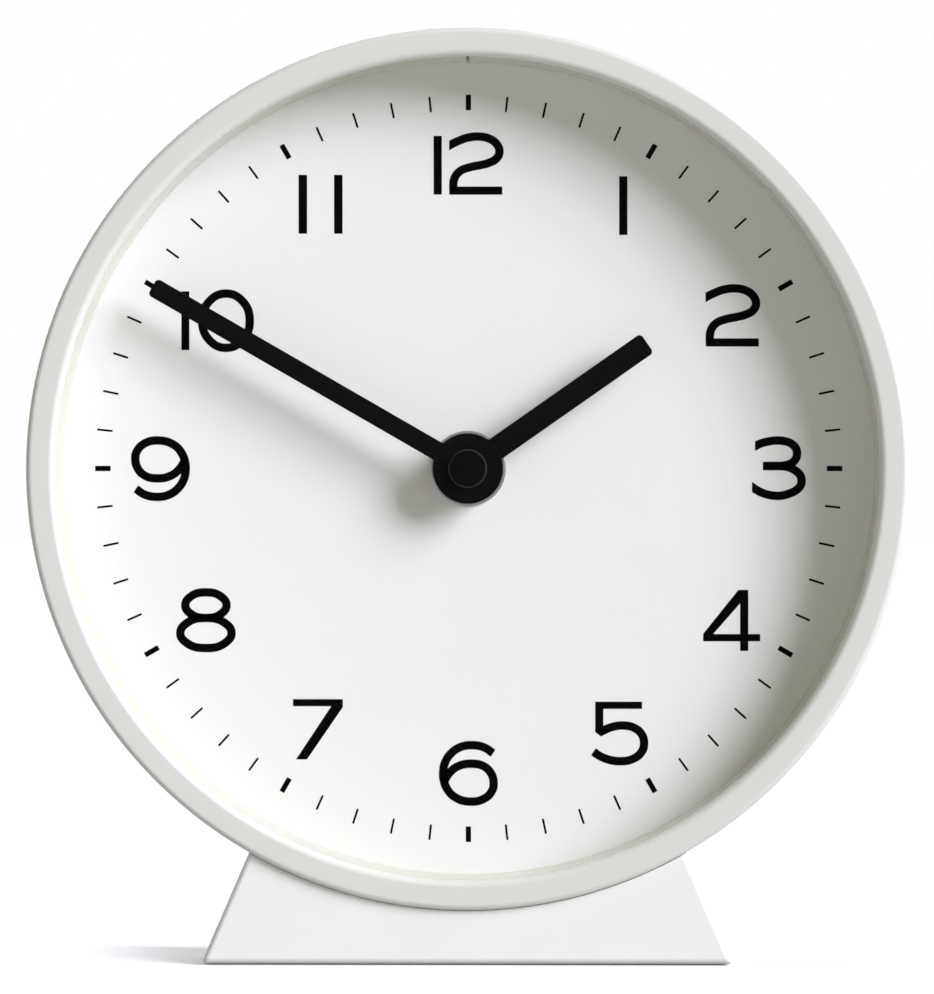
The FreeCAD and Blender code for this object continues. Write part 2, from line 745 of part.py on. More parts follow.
def base_screws():
    screws = []
    for side in ("front", "rear"):
        depth = f"base_screw_depth_{side}"
        head = cylinder(f"base_screw_head_{side}", "base_screw_head_radius", "base_screw_head_height",
                        depth=depth, z="saddle_under - base_screw_head_height")
        shank = cylinder(f"base_screw_shank_{side}", "base_screw_radius", "base_screw_top - saddle_under",
                         depth=depth, z="saddle_under")
        screws.append(joined(f"base_screw_{side}", "Part::MultiFuse", [head, shank]))
    pieces.append(joined("base_screws", "Part::Compound", screws))


# Hands

def hand(name, front, thickness, angle, length, width):
    """Straight blade with a rounded tip on a round hub."""
    body = new_body(name, turn=angle)
    blade = [
        (f"-{width} / 2", "0"),
        (f"-{width} / 2", length, "hand_corner_round"),
        (f"{width} / 2", length, "hand_corner_round"),
        (f"{width} / 2", "0"),
    ]
    pad(body, outline(body, f"{name}_blade", "XZ_Plane", blade, front), thickness)
    pad(body, rounds(body, f"{name}_hub", "XZ_Plane", [("0", "0", "hub_radius")], front), thickness)
    return body


def minute_hand():
    body = hand("minute_hand", "minute_front", "minute_hand_thickness", "minute_hand_angle",
                "minute_hand_length", "minute_hand_width")
    bore(body, "minute_hole", "arbor_tip_radius + fit_gap", "minute_front - overrun", "minute_rear + overrun")


def hour_hand():
    """The hour hand grips its pipe with a collet behind the hub."""
    body = hand("hour_hand", "hour_front", "hour_hand_thickness", "hour_hand_angle",
                "hour_hand_length", "hour_hand_width")
    shaft(body, "hour_collet", "collet_radius", "hour_rear - hour_hand_thickness / 2", "collet_rear")
    bore(body, "hour_hole", "hour_pipe_radius + fit_gap", "hour_front - overrun", "collet_rear + overrun")


def hand_cap_nut():
    body = new_body("hand_cap_nut")
    revolve(body, outline(body, "cap_profile", "XY_Plane", [
        ("0", "cap_front"),
        ("cap_radius - cap_chamfer", "cap_front"),
        ("cap_radius", "cap_front + cap_chamfer"),
        ("cap_radius", "minute_front"),
        ("arbor_tip_radius + fit_gap", "minute_front"),
        ("arbor_tip_radius + fit_gap", "cap_front + cap_wall"),
        ("0", "cap_front + cap_wall"),
    ]))


# Fixing of the movement to the dial

def dial_washer():
    disc = cylinder("washer_disc", "washer_radius", "washer_thickness", depth="nut_rear", **TO_REAR)
    hole = cylinder("washer_hole", "bush_radius + bush_hole_gap", "washer_thickness + 2 * overrun",
                    depth="nut_rear - overrun", **TO_REAR)
    pieces.append(joined("dial_washer", "Part::Cut", [disc, hole]))


def rubber_washer():
    disc = cylinder("seal_disc", "seal_radius", "seal_thickness", depth="dial_rear", **TO_REAR)
    hole = cylinder("seal_hole", "bush_radius + bush_hole_gap", "seal_thickness + 2 * overrun",
                    depth="dial_rear - overrun", **TO_REAR)
    pieces.append(joined("rubber_washer", "Part::Cut", [disc, hole]))


def fixing_nut():
    prism = document.addObject("Part::Prism", "nut_prism")
    prism.Polygon = 6
    bind(prism, "Circumradius", "nut_across / 2 / cos(30)")
    bind(prism, "Height", "nut_thickness")
    put(prism, depth="nut_front", **TO_REAR)
    hole = cylinder("nut_hole", "bush_radius + fit_gap", "nut_thickness + 2 * overrun",
                    depth="nut_front - overrun", **TO_REAR)
    pieces.append(joined("fixing_nut", "Part::Cut", [prism, hole]))


# Movement case

def movement_front_plate():
    """Square plate with the threaded bush that reaches through the dial."""
    body = new_body("movement_front_plate")
    square = rectangle("-movement_half", "movement_half", "movement_bottom", "movement_top", "housing_round")
    pad(body, outline(body, "plate_square", "XZ_Plane", square, "plate_front"), "plate_thickness")
    shaft(body, "bush", "bush_radius", "bush_front", "plate_front + plate_thickness / 2")
    bore(body, "bush_hole", "bush_bore", "bush_front - overrun", "plate_rear + overrun")
    pivots = [
        ("-train_distance", "0", "third_arbor_radius + bore_gap"),
        ("motion_distance", "0", "reversing_arbor_radius + bore_gap"),
    ]
    pocket(body, rounds(body, "front_pivots", "XZ_Plane", pivots, "plate_rear - pivot_depth"),
           "pivot_depth + overrun")


def movement_rear_housing():
    """Tray for the train with a battery bay open to the rear, posts and arbor bearings."""
    body = new_body("movement_rear_housing")
    square = rectangle("-movement_half", "movement_half", "movement_bottom", "movement_top", "housing_round")
    pad(body, outline(body, "housing_square", "XZ_Plane", square, "plate_rear"), "housing_rear - plate_rear")
    cavity = rectangle("-inner_half", "inner_half", "cavity_bottom", "cavity_top")
    pocket(body, outline(body, "train_cavity", "XZ_Plane", cavity, "plate_rear - overrun"),
           "floor_front - plate_rear + overrun")
    bay = rectangle("-inner_half", "inner_half", "bay_bottom", "bay_top")
    pocket(body, outline(body, "battery_bay", "XZ_Plane", bay, "bay_front"),
           "housing_rear - bay_front + overrun")
    inner_arbors = [
        ("0", "0", "seconds_arbor_radius"),
        ("-train_distance", "0", "third_arbor_radius"),
        ("0", "intermediate_distance", "intermediate_arbor_radius"),
        ("0", "rotor_height", "rotor_arbor_radius"),
    ]
    bosses = [(x, z, f"{radius} + bore_gap + pivot_boss_wall") for x, z, radius in inner_arbors]
    bosses.append(("motion_distance", "0", "reversing_arbor_radius + bore_gap + pivot_boss_wall"))
    pad(body, rounds(body, "arbor_bosses", "XZ_Plane", bosses, "boss_front"),
        "floor_front + housing_wall / 2 - boss_front")
    posts = [(f"{side}post_spread", "rotor_height", "post_radius") for side in ("", "-")]
    pad(body, rounds(body, "stator_posts", "XZ_Plane", posts, "stator_rear"),
        "floor_front + housing_wall / 2 - stator_rear")
    pins = [("board_place", f"{side}board_height * board_post_share", "board_post_radius") for side in ("", "-")]
    pad(body, rounds(body, "board_posts", "XZ_Plane", pins, "board_front + board_thickness"),
        "board_post_height + housing_wall / 2")
    holes = [(x, z, f"{radius} + bore_gap") for x, z, radius in inner_arbors]
    holes += [(f"{side}post_spread", "rotor_height", "bridge_screw_radius + fit_gap") for side in ("", "-")]
    pocket(body, rounds(body, "arbor_pivots", "XZ_Plane", holes, "stator_rear - overrun"),
           "pivot_rear - stator_rear + overrun")
    knob_hole = [("motion_distance", "0", "reversing_arbor_radius + bore_gap")]
    pocket(body, rounds(body, "knob_hole", "XZ_Plane", knob_hole, "boss_front - overrun"),
           "housing_rear - boss_front + 2 * overrun")


# Motor

def train_bridge():
    """Plate over the stator with the front bearings of the rotor and intermediate arbors."""
    body = new_body("train_bridge")
    low = "intermediate_distance - bridge_half_width"
    bar_low = "rotor_height - bridge_half_width"
    bar_top = "rotor_height + bridge_half_width"
    ends = "post_spread + bridge_half_width"
    corners = [
        (f"-({ends})", bar_low, "bridge_round"),
        ("-bridge_half_width", bar_low),
        ("-bridge_half_width", low, "bridge_half_width / 2"),
        ("bridge_half_width", low, "bridge_half_width / 2"),
        ("bridge_half_width", bar_low),
        (ends, bar_low, "bridge_round"),
        (ends, bar_top, "bridge_round"),
        (f"-({ends})", bar_top, "bridge_round"),
    ]
    pad(body, outline(body, "bridge_bar", "XZ_Plane", corners, "tail_rear"), "bridge_thickness")
    legs = [(f"{side}post_spread", "rotor_height", "post_radius") for side in ("", "-")]
    pad(body, rounds(body, "bridge_legs", "XZ_Plane", legs, "bridge_rear - bridge_thickness / 2"),
        "stator_gap + bridge_thickness / 2")
    holes = [
        ("0", "intermediate_distance", "intermediate_arbor_radius + bore_gap"),
        ("0", "rotor_height", "rotor_arbor_radius + bore_gap"),
    ]
    holes += [(f"{side}post_spread", "rotor_height", "bridge_screw_radius + fit_gap") for side in ("", "-")]
    pocket(body, rounds(body, "bridge_holes", "XZ_Plane", holes, "tail_rear - overrun"),
           "bridge_thickness + stator_gap + 2 * overrun")


def bridge_screws():
    screws = []
    for side, sign in (("right", ""), ("left", "-")):
        x = f"{sign}post_spread"
        z = "axis_height + rotor_height"
        head = cylinder(f"bridge_screw_head_{side}", "bridge_screw_head_radius", "bridge_screw_head_height",
                        x=x, z=z, depth="tail_rear - bridge_screw_head_height", **TO_REAR)
        shank = cylinder(f"bridge_screw_shank_{side}", "bridge_screw_radius", "bridge_screw_length",
                         x=x, z=z, depth="tail_rear", **TO_REAR)
        screws.append(joined(f"bridge_screw_{side}", "Part::MultiFuse", [head, shank]))
    pieces.append(joined("bridge_screws", "Part::Compound", screws))


def stator():
    """Flat iron plate around the rotor, with two arms that carry the coil's core."""
    body = new_body("stator")
    reach = "post_spread + arm_width / 2"
    inside = "post_spread - arm_width / 2"
    low = "rotor_height - stator_rim"
    waist = "rotor_height + stator_rim"
    top = "coil_height + core_width / 2"
    corners = [(f"-({reach})", low), (reach, low), (reach, top), (inside, top),
               (inside, waist), (f"-({inside})", waist), (f"-({inside})", top), (f"-({reach})", top)]
    pad(body, outline(body, "stator_plate", "XZ_Plane", corners, "stator_front"), "stator_thickness")
    holes = [("0", "rotor_height", "magnet_radius + stator_air_gap")]
    holes += [(f"{side}post_spread", "rotor_height", "bridge_screw_radius + fit_gap") for side in ("", "-")]
    pocket(body, rounds(body, "stator_holes", "XZ_Plane", holes, "stator_front - overrun"),
           "stator_thickness + 2 * overrun")


def coil_core():
    item = document.addObject("Part::Box", "coil_core")
    bind(item, "Length", "2 * post_spread + arm_width")
    bind(item, "Width", "core_thickness")
    bind(item, "Height", "core_width")
    put(item, x="-post_spread - arm_width / 2", depth="stator_rear", z="axis_height + coil_height - core_width / 2")
    pieces.append(item)


def coil_bobbin():
    body = new_body("coil_bobbin", depth="core_depth", z="axis_height + coil_height")
    outer = "coil_length / 2"
    inner = "coil_length / 2 - coil_flange"
    tube = "bobbin_inner + bobbin_wall"
    revolve(body, outline(body, "bobbin_profile", "XZ_Plane", [
        (f"-{outer}", "bobbin_inner"),
        (outer, "bobbin_inner"),
        (outer, "coil_flange_radius"),
        (inner, "coil_flange_radius"),
        (inner, tube),
        (f"-({inner})", tube),
        (f"-({inner})", "coil_flange_radius"),
        (f"-{outer}", "coil_flange_radius"),
    ]), "H_Axis")


def coil_winding():
    """Fine wire, modelled as the sleeve that its layers fill."""
    length = "coil_length - 2 * coil_flange"
    along = {"axis": "0; 1; 0", "turn": "90", "depth": "core_depth", "z": "axis_height + coil_height"}
    sleeve = cylinder("winding_sleeve", "winding_radius", length, x=f"-({length}) / 2", **along)
    hole = cylinder("winding_hole", "bobbin_inner + bobbin_wall", "coil_length", x="-coil_length / 2", **along)
    pieces.append(joined("coil_winding", "Part::Cut", [sleeve, hole]))


# Wheels and arbors

def rotor():
    body = new_body("rotor", z="axis_height + rotor_height")
    shaft(body, "rotor_arbor", "rotor_arbor_radius", "tail_rear", "pivot_rear - fit_gap")
    shaft(body, "rotor_magnet", "magnet_radius", "magnet_front", "magnet_rear")
    toothed(body, "rotor_pinion", "intermediate_front - leaf_overhang", "intermediate_rear + leaf_overhang",
            "pinion_leaves", "intermediate_module")


def intermediate_wheel():
    body = new_body("intermediate_wheel", z="axis_height + intermediate_distance", turn="intermediate_turn")
    shaft(body, "intermediate_arbor", "intermediate_arbor_radius", "tail_rear", "pivot_rear - fit_gap")
    toothed(body, "intermediate", "intermediate_front", "intermediate_rear", "intermediate_teeth",
            "intermediate_module")
    toothed(body, "intermediate_pinion", "seconds_front - leaf_overhang", "intermediate_front",
            "pinion_leaves", "seconds_module")


def seconds_wheel():
    body = new_body("seconds_wheel", turn="seconds_turn")
    shaft(body, "seconds_arbor", "seconds_arbor_radius", "cannon_front - seconds_arbor_reach",
          "pivot_rear - fit_gap")
    toothed(body, "seconds", "seconds_front", "seconds_rear", "seconds_teeth", "seconds_module")
    toothed(body, "seconds_pinion", "third_front - leaf_overhang", "seconds_front",
            "pinion_leaves", "third_module")


def third_wheel():
    body = new_body("third_wheel", x="-train_distance", turn="third_turn")
    shaft(body, "third_arbor", "third_arbor_radius", "plate_rear - pivot_depth + fit_gap",
          "pivot_rear - fit_gap")
    toothed(body, "third", "third_front", "third_rear", "third_teeth", "third_module")
    toothed(body, "third_pinion", "centre_front - leaf_overhang", "third_front",
            "pinion_leaves", "centre_module")


def centre_wheel():
    """It turns on the tail of the minute arbor and slips there when the hands are set."""
    body = new_body("centre_wheel", turn="centre_turn")
    toothed(body, "centre", "centre_front", "centre_rear", "centre_teeth", "centre_module")
    bore(body, "centre_bore", "tail_radius + bore_gap", "centre_front - overrun", "centre_rear + overrun")


def minute_arbor():
    """Hollow arbor with a seat for the minute hand, the cannon pinion and a tail."""
    body = new_body("minute_arbor")
    shaft(body, "arbor_tip", "arbor_tip_radius", "cap_front + cap_wall + fit_gap", "minute_rear")
    shaft(body, "arbor_body", "minute_arbor_radius", "minute_rear", "cannon_front")
    toothed(body, "cannon", "cannon_front", "cannon_rear", "cannon_leaves", "reversing_module")
    shaft(body, "arbor_tail", "tail_radius", "cannon_rear", "tail_rear")
    bore(body, "arbor_bore", "seconds_bore", "cannon_front - seconds_arbor_reach - level_gap",
         "tail_rear + overrun")


def reversing_wheel():
    body = new_body("reversing_wheel", x="motion_distance", turn="reversing_turn")
    shaft(body, "reversing_arbor", "reversing_arbor_radius", "plate_rear - pivot_depth + fit_gap", "arbor_end")
    toothed(body, "reversing", "reversing_front", "reversing_rear", "reversing_teeth", "reversing_module")
    toothed(body, "reversing_pinion", "hour_wheel_front - leaf_overhang", "reversing_front",
            "cannon_leaves", "hour_module")


def hour_wheel():
    body = new_body("hour_wheel", turn="hour_turn")
    shaft(body, "hour_pipe", "hour_pipe_radius", "hour_front", "hour_wheel_rear")
    toothed(body, "hour_teeth_ring", "hour_wheel_front", "hour_wheel_rear", "hour_teeth", "hour_module")
    bore(body, "pipe_bore", "hour_bore", "hour_front - overrun", "hour_wheel_rear + overrun")


def setting_knob():
    """Fluted knob pressed on the rear end of the reversing arbor."""
    body = new_body("setting_knob", x="motion_distance")
    revolve(body, outline(body, "knob_profile", "XY_Plane", [
        ("0", "knob_front"),
        ("knob_radius", "knob_front"),
        ("knob_radius", "knob_rear - knob_chamfer"),
        ("knob_radius - knob_chamfer", "knob_rear"),
        ("0", "knob_rear"),
    ]))
    flute = rounds(body, "flute", "XZ_Plane", [("0", "knob_radius", "flute_radius")], "knob_front - overrun")
    around(body, pocket(body, flute, "knob_height + 2 * overrun"), "flute_count")
    bore(body, "knob_bore", "reversing_arbor_radius + fit_gap", "knob_front - overrun", "arbor_end + fit_gap")


# Battery and circuit

def battery():
    body = new_body("battery", depth="cell_depth", z="axis_height + cell_height")
    revolve(body, outline(body, "cell_profile", "XZ_Plane", [
        ("-cell_length / 2", "0"),
        ("-cell_length / 2", "cell_radius - cell_chamfer"),
        ("-cell_length / 2 + cell_chamfer", "cell_radius"),
        ("cell_length / 2 - cell_nub_length - cell_chamfer", "cell_radius"),
        ("cell_length / 2 - cell_nub_length", "cell_radius - cell_chamfer"),
        ("cell_length / 2 - cell_nub_length", "cell_nub_radius"),
        ("cell_length / 2", "cell_nub_radius"),
        ("cell_length / 2", "0"),
    ]), "H_Axis")


def battery_contact(label, side):
    """Folded strip: one leg lies on the end wall of the bay and the other springs to the cell."""
    body = new_body(label, z="axis_height + cell_height")
    wall = f"{side}inner_half"
    leg = f"{side}(inner_half - leaf_thickness)"
    spring = f"{side}(cell_length / 2 + contact_gap)"
    spring_back = f"{side}(cell_length / 2 + contact_gap + leaf_thickness)"
    fold = "bay_front + leaf_thickness"
    top = "bay_front + leaf_length"
    corners = [(wall, "bay_front"), (wall, top), (leg, top), (leg, fold),
               (spring_back, fold), (spring_back, top), (spring, top), (spring, "bay_front")]
    pad(body, outline(body, f"{label}_strip", "XY_Plane", corners, "-leaf_width / 2"), "leaf_width", False)


def circuit_board():
    """Board on two posts, with the chip under a round blob."""
    body = new_body("circuit_board")
    plan = rectangle("board_place - board_width / 2", "board_place + board_width / 2",
                     "-board_height / 2", "board_height / 2")
    pad(body, outline(body, "board_plan", "XZ_Plane", plan, "board_front"), "board_thickness")
    blob = [("board_place - board_width * chip_across_share", "-board_height * chip_down_share",
             "chip_radius")]
    pad(body, rounds(body, "chip_blob", "XZ_Plane", blob, "board_front - chip_height"),
        "chip_height + board_thickness / 2")


def quartz_crystal():
    item = cylinder("quartz_crystal", "crystal_radius", "crystal_length",
                    x="board_place + board_width * crystal_across_share",
                    depth="board_front - crystal_radius - fit_gap", z="axis_height + board_gap")
    pieces.append(item)


def check_document():
    """Stop if any item of the document failed or any piece is not a sound solid."""
    for item in document.Objects:
        if any(word in state for state in item.State for word in ("Invalid", "Error")):
            raise RuntimeError(f"{item.Label}: {item.State}")
    for piece in pieces:
        if piece.Shape.isNull() or not piece.Shape.isValid() or not piece.Shape.Solids:
            raise RuntimeError(f"{piece.Label}: no sound solid")


def write_pieces():
    os.makedirs("parts", exist_ok=True)
    for piece in pieces:
        piece.Shape.exportStep(f"parts/{piece.Label}.step")


fill_sheets()
front_bezel()
lens()
reflector_ring()
dial_plate()
case_drum()
back_cover()
back_cover_screws()
base_plinth()
base_plate()
base_feet()
base_screws()
minute_hand()
hour_hand()
hand_cap_nut()
dial_washer()
rubber_washer()
fixing_nut()
movement_front_plate()
movement_rear_housing()
train_bridge()
bridge_screws()
stator()
coil_core()
coil_bobbin()
coil_winding()
rotor()
intermediate_wheel()
seconds_wheel()
third_wheel()
centre_wheel()
minute_arbor()
reversing_wheel()
hour_wheel()
setting_knob()
battery()
battery_contact("battery_contact_positive", "")
battery_contact("battery_contact_negative", "-")
circuit_board()
quartz_crystal()
document.recompute()
check_document()
write_pieces()
print(f"{len(pieces)} pieces written")
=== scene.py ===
# %% [markdown]
# The desk clock is packed as a set of exact solids. This lesson keeps them as a fixed frame and
# gives every piece its finish. Pieces that the eye comes close to, such as the bezel, the plinth
# and the hands, are modelled again with finer edges, in the places of their solids, and the print
# on the dial is added. All lengths are metres, the clock faces -Y and the floor is Z = 0.

# %% Load the frame
import math
import bmesh
import bpy
from mathutils import Matrix, Vector


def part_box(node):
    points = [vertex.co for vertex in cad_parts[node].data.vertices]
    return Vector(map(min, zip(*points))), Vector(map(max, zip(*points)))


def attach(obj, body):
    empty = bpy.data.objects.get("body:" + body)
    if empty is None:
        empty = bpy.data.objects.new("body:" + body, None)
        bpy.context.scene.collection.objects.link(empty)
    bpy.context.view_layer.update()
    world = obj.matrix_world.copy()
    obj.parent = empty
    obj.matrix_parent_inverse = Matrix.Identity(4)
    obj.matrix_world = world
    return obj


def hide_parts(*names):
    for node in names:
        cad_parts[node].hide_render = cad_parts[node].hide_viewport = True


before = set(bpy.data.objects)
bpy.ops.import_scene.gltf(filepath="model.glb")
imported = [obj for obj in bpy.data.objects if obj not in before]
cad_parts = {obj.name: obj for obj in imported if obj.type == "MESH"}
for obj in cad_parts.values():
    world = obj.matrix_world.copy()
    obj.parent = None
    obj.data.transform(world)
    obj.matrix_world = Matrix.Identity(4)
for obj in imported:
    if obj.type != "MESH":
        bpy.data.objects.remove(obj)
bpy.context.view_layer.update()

MM = 0.001
hub = sum(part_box("hand_cap_nut"), Vector()) / 2
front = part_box("front_bezel")[0].y
print("frame:", len(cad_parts), "nodes, axis at height", round(hub.z, 4), "front at", round(front, 4))

# %% [markdown]
# The picture was taken from about 1.4 metres with a long lens, nearly level with the axis and a
# little to its right. A camera that is aimed at the object needs no lens shift, so the same camera
# can be moved round the clock for the other views.

# %% Camera
camera_distance = 1.38
camera_side = 0.024
camera_rise = 0.004
frame_height = 0.1967
aim_drop = 5.6 * MM
film_size = 36
aim = Vector((0, front, hub.z - aim_drop))
camera = bpy.data.objects.new("studio_camera", bpy.data.cameras.new("studio_camera"))
camera.data.sensor_width = film_size
camera.data.lens = film_size * camera_distance / frame_height
camera.location = Vector((camera_side, front - camera_distance, hub.z + camera_rise))
camera.rotation_euler = (aim - camera.location).to_track_quat("-Z", "Y").to_euler()
bpy.context.scene.collection.objects.link(camera)
bpy.context.scene.camera = camera
bpy.context.scene.view_settings.view_transform = "Standard"
print("camera lens", round(camera.data.lens, 1), "mm")

# %% [markdown]
# Shader maths could be built one node at a time, but it reads best as plain expressions. A Wire
# holds one output of a node, and adding or multiplying wires adds the Math nodes.

# %% Wires
class Wire:
    """One output socket; arithmetic on it adds Math nodes."""

    def __init__(self, finish, socket):
        self.finish = finish
        self.socket = socket

    def math(self, operation, first, second=0.0):
        return self.finish.node("ShaderNodeMath", {"operation": operation}, {0: first, 1: second})

    def __add__(self, other):
        return self.math("ADD", self, other)

    def __sub__(self, other):
        return self.math("SUBTRACT", self, other)

    def __mul__(self, other):
        return self.math("MULTIPLY", self, other)

    def __radd__(self, other):
        return self.math("ADD", other, self)

    def __rsub__(self, other):
        return self.math("SUBTRACT", other, self)

    def __rmul__(self, other):
        return self.math("MULTIPLY", other, self)

    def above(self, level):
        return self.math("GREATER_THAN", self, level)


print("wires ready")

# %% [markdown]
# A Finish holds one material. Its node method makes any node from its type, its settings and what
# goes into its sockets. Patterns read the Object coordinates, which are the real places in metres,
# so a grain has the same size on every piece.

# %% Finishes
class Finish:
    """One material; the wires of its nodes end in its Principled shader."""

    def __init__(self, name, owner=None):
        self.owner = owner or bpy.data.materials.new(name)
        self.owner.use_nodes = True
        self.tree = self.owner.node_tree
        self.shader = self.tree.nodes.get("Principled BSDF")

    def node(self, kind, settings=None, sockets=None, out=0):
        """Make a node: its settings first, then a value or a wire for each named socket."""
        made = self.tree.nodes.new(kind)
        for key, value in (settings or {}).items():
            if key == "stops":
                self.fill_ramp(made.color_ramp, value)
            else:
                setattr(made, key, value)
        for key, value in (sockets or {}).items():
            self.feed(made.inputs[key], value)
        return Wire(self, made.outputs[out])

    def fill_ramp(self, ramp, stops):
        while len(ramp.elements) < len(stops):
            ramp.elements.new(0.5)
        for element, (place, colour) in zip(ramp.elements, stops):
            element.position = place
            element.color = colour

    def feed(self, socket, value):
        if isinstance(value, Wire):
            self.tree.links.new(value.socket, socket)
        else:
            socket.default_value = value

    def put(self, **sockets):
        """Feed sockets of the Principled shader; an underscore stands for a space."""
        for key, value in sockets.items():
            self.feed(self.shader.inputs[key.replace("_", " ")], value)
        return self

    def place(self, centre=(0, 0, 0), stretch=(1, 1, 1)):
        """Object coordinates, centred on a point and scaled."""
        plain = self.node("ShaderNodeTexCoord", out="Object")
        moved = [-along * scale for along, scale in zip(centre, stretch)]
        return self.node("ShaderNodeMapping", {}, {"Vector": plain, "Location": moved, "Scale": stretch})

    def noise(self, size, detail=2.0, stretch=(1, 1, 1)):
        """Soft clouds of a real size, in metres."""
        where = self.place(stretch=stretch)
        return self.node("ShaderNodeTexNoise", {}, {"Vector": where, "Scale": 1 / size, "Detail": detail})

    def mix(self, share, first, second):
        """The first colour at share 0, the second at share 1."""
        return self.node("ShaderNodeMix", {"data_type": "RGBA"}, {0: share, 6: first, 7: second}, out=2)

    def math_max(self, first, *others):
        """The largest of several wires."""
        for other in others:
            first = first.math("MAXIMUM", first, other)
        return first

    def relief(self, height, depth):
        """Small bumps of a real depth, in metres."""
        sockets = {"Height": height, "Distance": depth, "Strength": 1.0}
        return self.put(Normal=self.node("ShaderNodeBump", {}, sockets))


print("finishes ready")

# %% [markdown]
# Colours are chosen as screen values from 0 to 255, as a picture shows them. A shader counts light
# instead, so each value is turned into its linear share first.

# %% Colours
def paint(red, green, blue):
    """The linear colour of a screen colour, each part from 0 to 255."""
    linear = []
    for part in (red, green, blue):
        share = part / 255
        linear.append(share / 12.92 if share <= 0.04045 else ((share + 0.055) / 1.055) ** 2.4)
    return (*linear, 1.0)


def shade(colour, share):
    """The same colour, darker or lighter."""
    return (*[min(part * share, 1.0) for part in colour[:3]], 1.0)


print("middle grey as light:", round(paint(128, 128, 128)[0], 3))

# %% [markdown]
# One soft key light stands on the right, a little raised, and rakes the dial, so the deep rim
# throws a curved shadow across it. A large area lamp could do the same; a sun lamp is simpler,
# because its width alone sets how soft the shadow is. A wide lamp behind, faintly blue, keeps the
# back and the left side readable.

# %% Lamps
def soft_sun(name, direction, strength, width, colour):
    """A lamp far away; direction points from the object to the lamp."""
    lamp = bpy.data.objects.new(name, bpy.data.lights.new(name, "SUN"))
    lamp.data.energy = strength
    lamp.data.angle = math.radians(width)
    lamp.data.color = colour
    lamp.rotation_euler = Vector(direction).to_track_quat("Z", "Y").to_euler()
    lamp.location = hub + Vector(direction)
    bpy.context.scene.collection.objects.link(lamp)
    return lamp


key_light = soft_sun("key_light", (0.733, -0.518, 0.440), 4.56, 34, (0.90, 0.91, 0.99))
back_light = soft_sun("back_light", (-0.25, 0.85, 0.45), 1.9, 60, (1.0, 1.0, 1.1))
print("lamps:", key_light.name, back_light.name)

# %% [markdown]
# The world gives the even, warm light that fills the shadows. A ray from the camera, or one that
# a gloss or a clear sheet sends on, meets a white world instead. So the background and what the
# clock mirrors are plain white, and the even light stays low.

# %% World
white_light = (1.0, 1.0, 1.0, 1.0)
warm_fill = (0.206, 0.198, 0.14, 1.0)


def seen(finish):
    """1 for rays that show a background, 0 for rays that carry light."""
    rays = finish.tree.nodes.new("ShaderNodeLightPath")
    wires = [Wire(finish, rays.outputs[f"Is {kind} Ray"]) for kind in ("Camera", "Glossy", "Transmission")]
    return finish.math_max(*wires)


def studio_world():
    world = bpy.data.worlds.new("studio_world")
    bpy.context.scene.world = world
    finish = Finish("studio_world", world)
    background = finish.tree.nodes["Background"]
    finish.feed(background.inputs["Color"], finish.mix(seen(finish), warm_fill, white_light))


studio_world()
print("world:", bpy.context.scene.world.name)

# %% [markdown]
# The floor in the photograph is white, apart from a soft shadow at the clock's left foot. A plain
# white floor would show more shadow than that, so here the floor is pale paper close to the clock
# and turns into a plain white glow before, behind and to the left of it. To rays that carry light
# it is a middle grey, which keeps its bounce on the clock low.

# %% Floor
floor_half = 6
below_feet = 0.01 * MM
least_glow = 0.1
# Distances from the clock's middle at which the glow starts and is whole
glow_behind = (0.016, 0.036)
glow_ahead = (0.025, 0.035)
glow_left = (0.049, 0.088)


def fade(finish, wire, start, end):
    """The share of glow: the least of it before the start, all of it after the end."""
    ends = {"From Min": start, "From Max": end, "To Min": least_glow, "To Max": 1.0}
    return finish.node("ShaderNodeMapRange", {"interpolation_type": "SMOOTHSTEP"}, {"Value": wire, **ends})


def pale_floor():
    work = bmesh.new()
    bmesh.ops.create_grid(work, x_segments=8, y_segments=8, size=floor_half)
    mesh = bpy.data.meshes.new("studio_floor")
    bmesh.ops.translate(work, verts=work.verts, vec=(0, 0, -below_feet))
    work.to_mesh(mesh)
    work.free()
    floor = bpy.data.objects.new("studio_floor", mesh)
    bpy.context.scene.collection.objects.link(floor)
    finish = Finish("pale_floor")
    shown = seen(finish)
    paper = finish.noise(0.4, detail=1)
    pale = finish.mix(paper, (0.95, 0.96, 1.0, 1.0), (0.97, 0.98, 1.0, 1.0))
    bounce_grey = (0.50, 0.495, 0.47, 1.0)
    finish.put(Base_Color=finish.mix(shown, bounce_grey, pale), Roughness=0.9)
    finish.put(Specular_IOR_Level=0.0)
    glow = finish.node("ShaderNodeEmission", {}, {"Color": (1.0, 1.0, 1.06, 1.0), "Strength": 1.1})
    floor_shader = Wire(finish, finish.shader.outputs[0])
    depth = finish.node("ShaderNodeSeparateXYZ", {}, {0: finish.place()}, out="Y")
    across = finish.node("ShaderNodeSeparateXYZ", {}, {0: finish.place()}, out="X")
    behind = fade(finish, depth, *glow_behind)
    ahead = fade(finish, 0.0 - depth, *glow_ahead)
    beside = fade(finish, 0.0 - across, *glow_left)
    share = shown * finish.math_max(behind, ahead, beside)
    both = finish.node("ShaderNodeMixShader", {}, {0: share, 1: floor_shader, 2: glow})
    finish.feed(finish.tree.nodes["Material Output"].inputs["Surface"], both)
    mesh.materials.append(finish.owner)
    return floor


print("floor:", pale_floor().name)

# %% [markdown]
# The case, the plinth and the rear cover are injection-moulded plastic. Real mouldings are never
# one flat tone: the resin flows in faint clouds, the mould leaves a fine grain, and the gloss
# wanders a little with both. One function makes them all, from the colour and the grain's size.

# %% Moulded plastics
cloud_size = 14 * MM


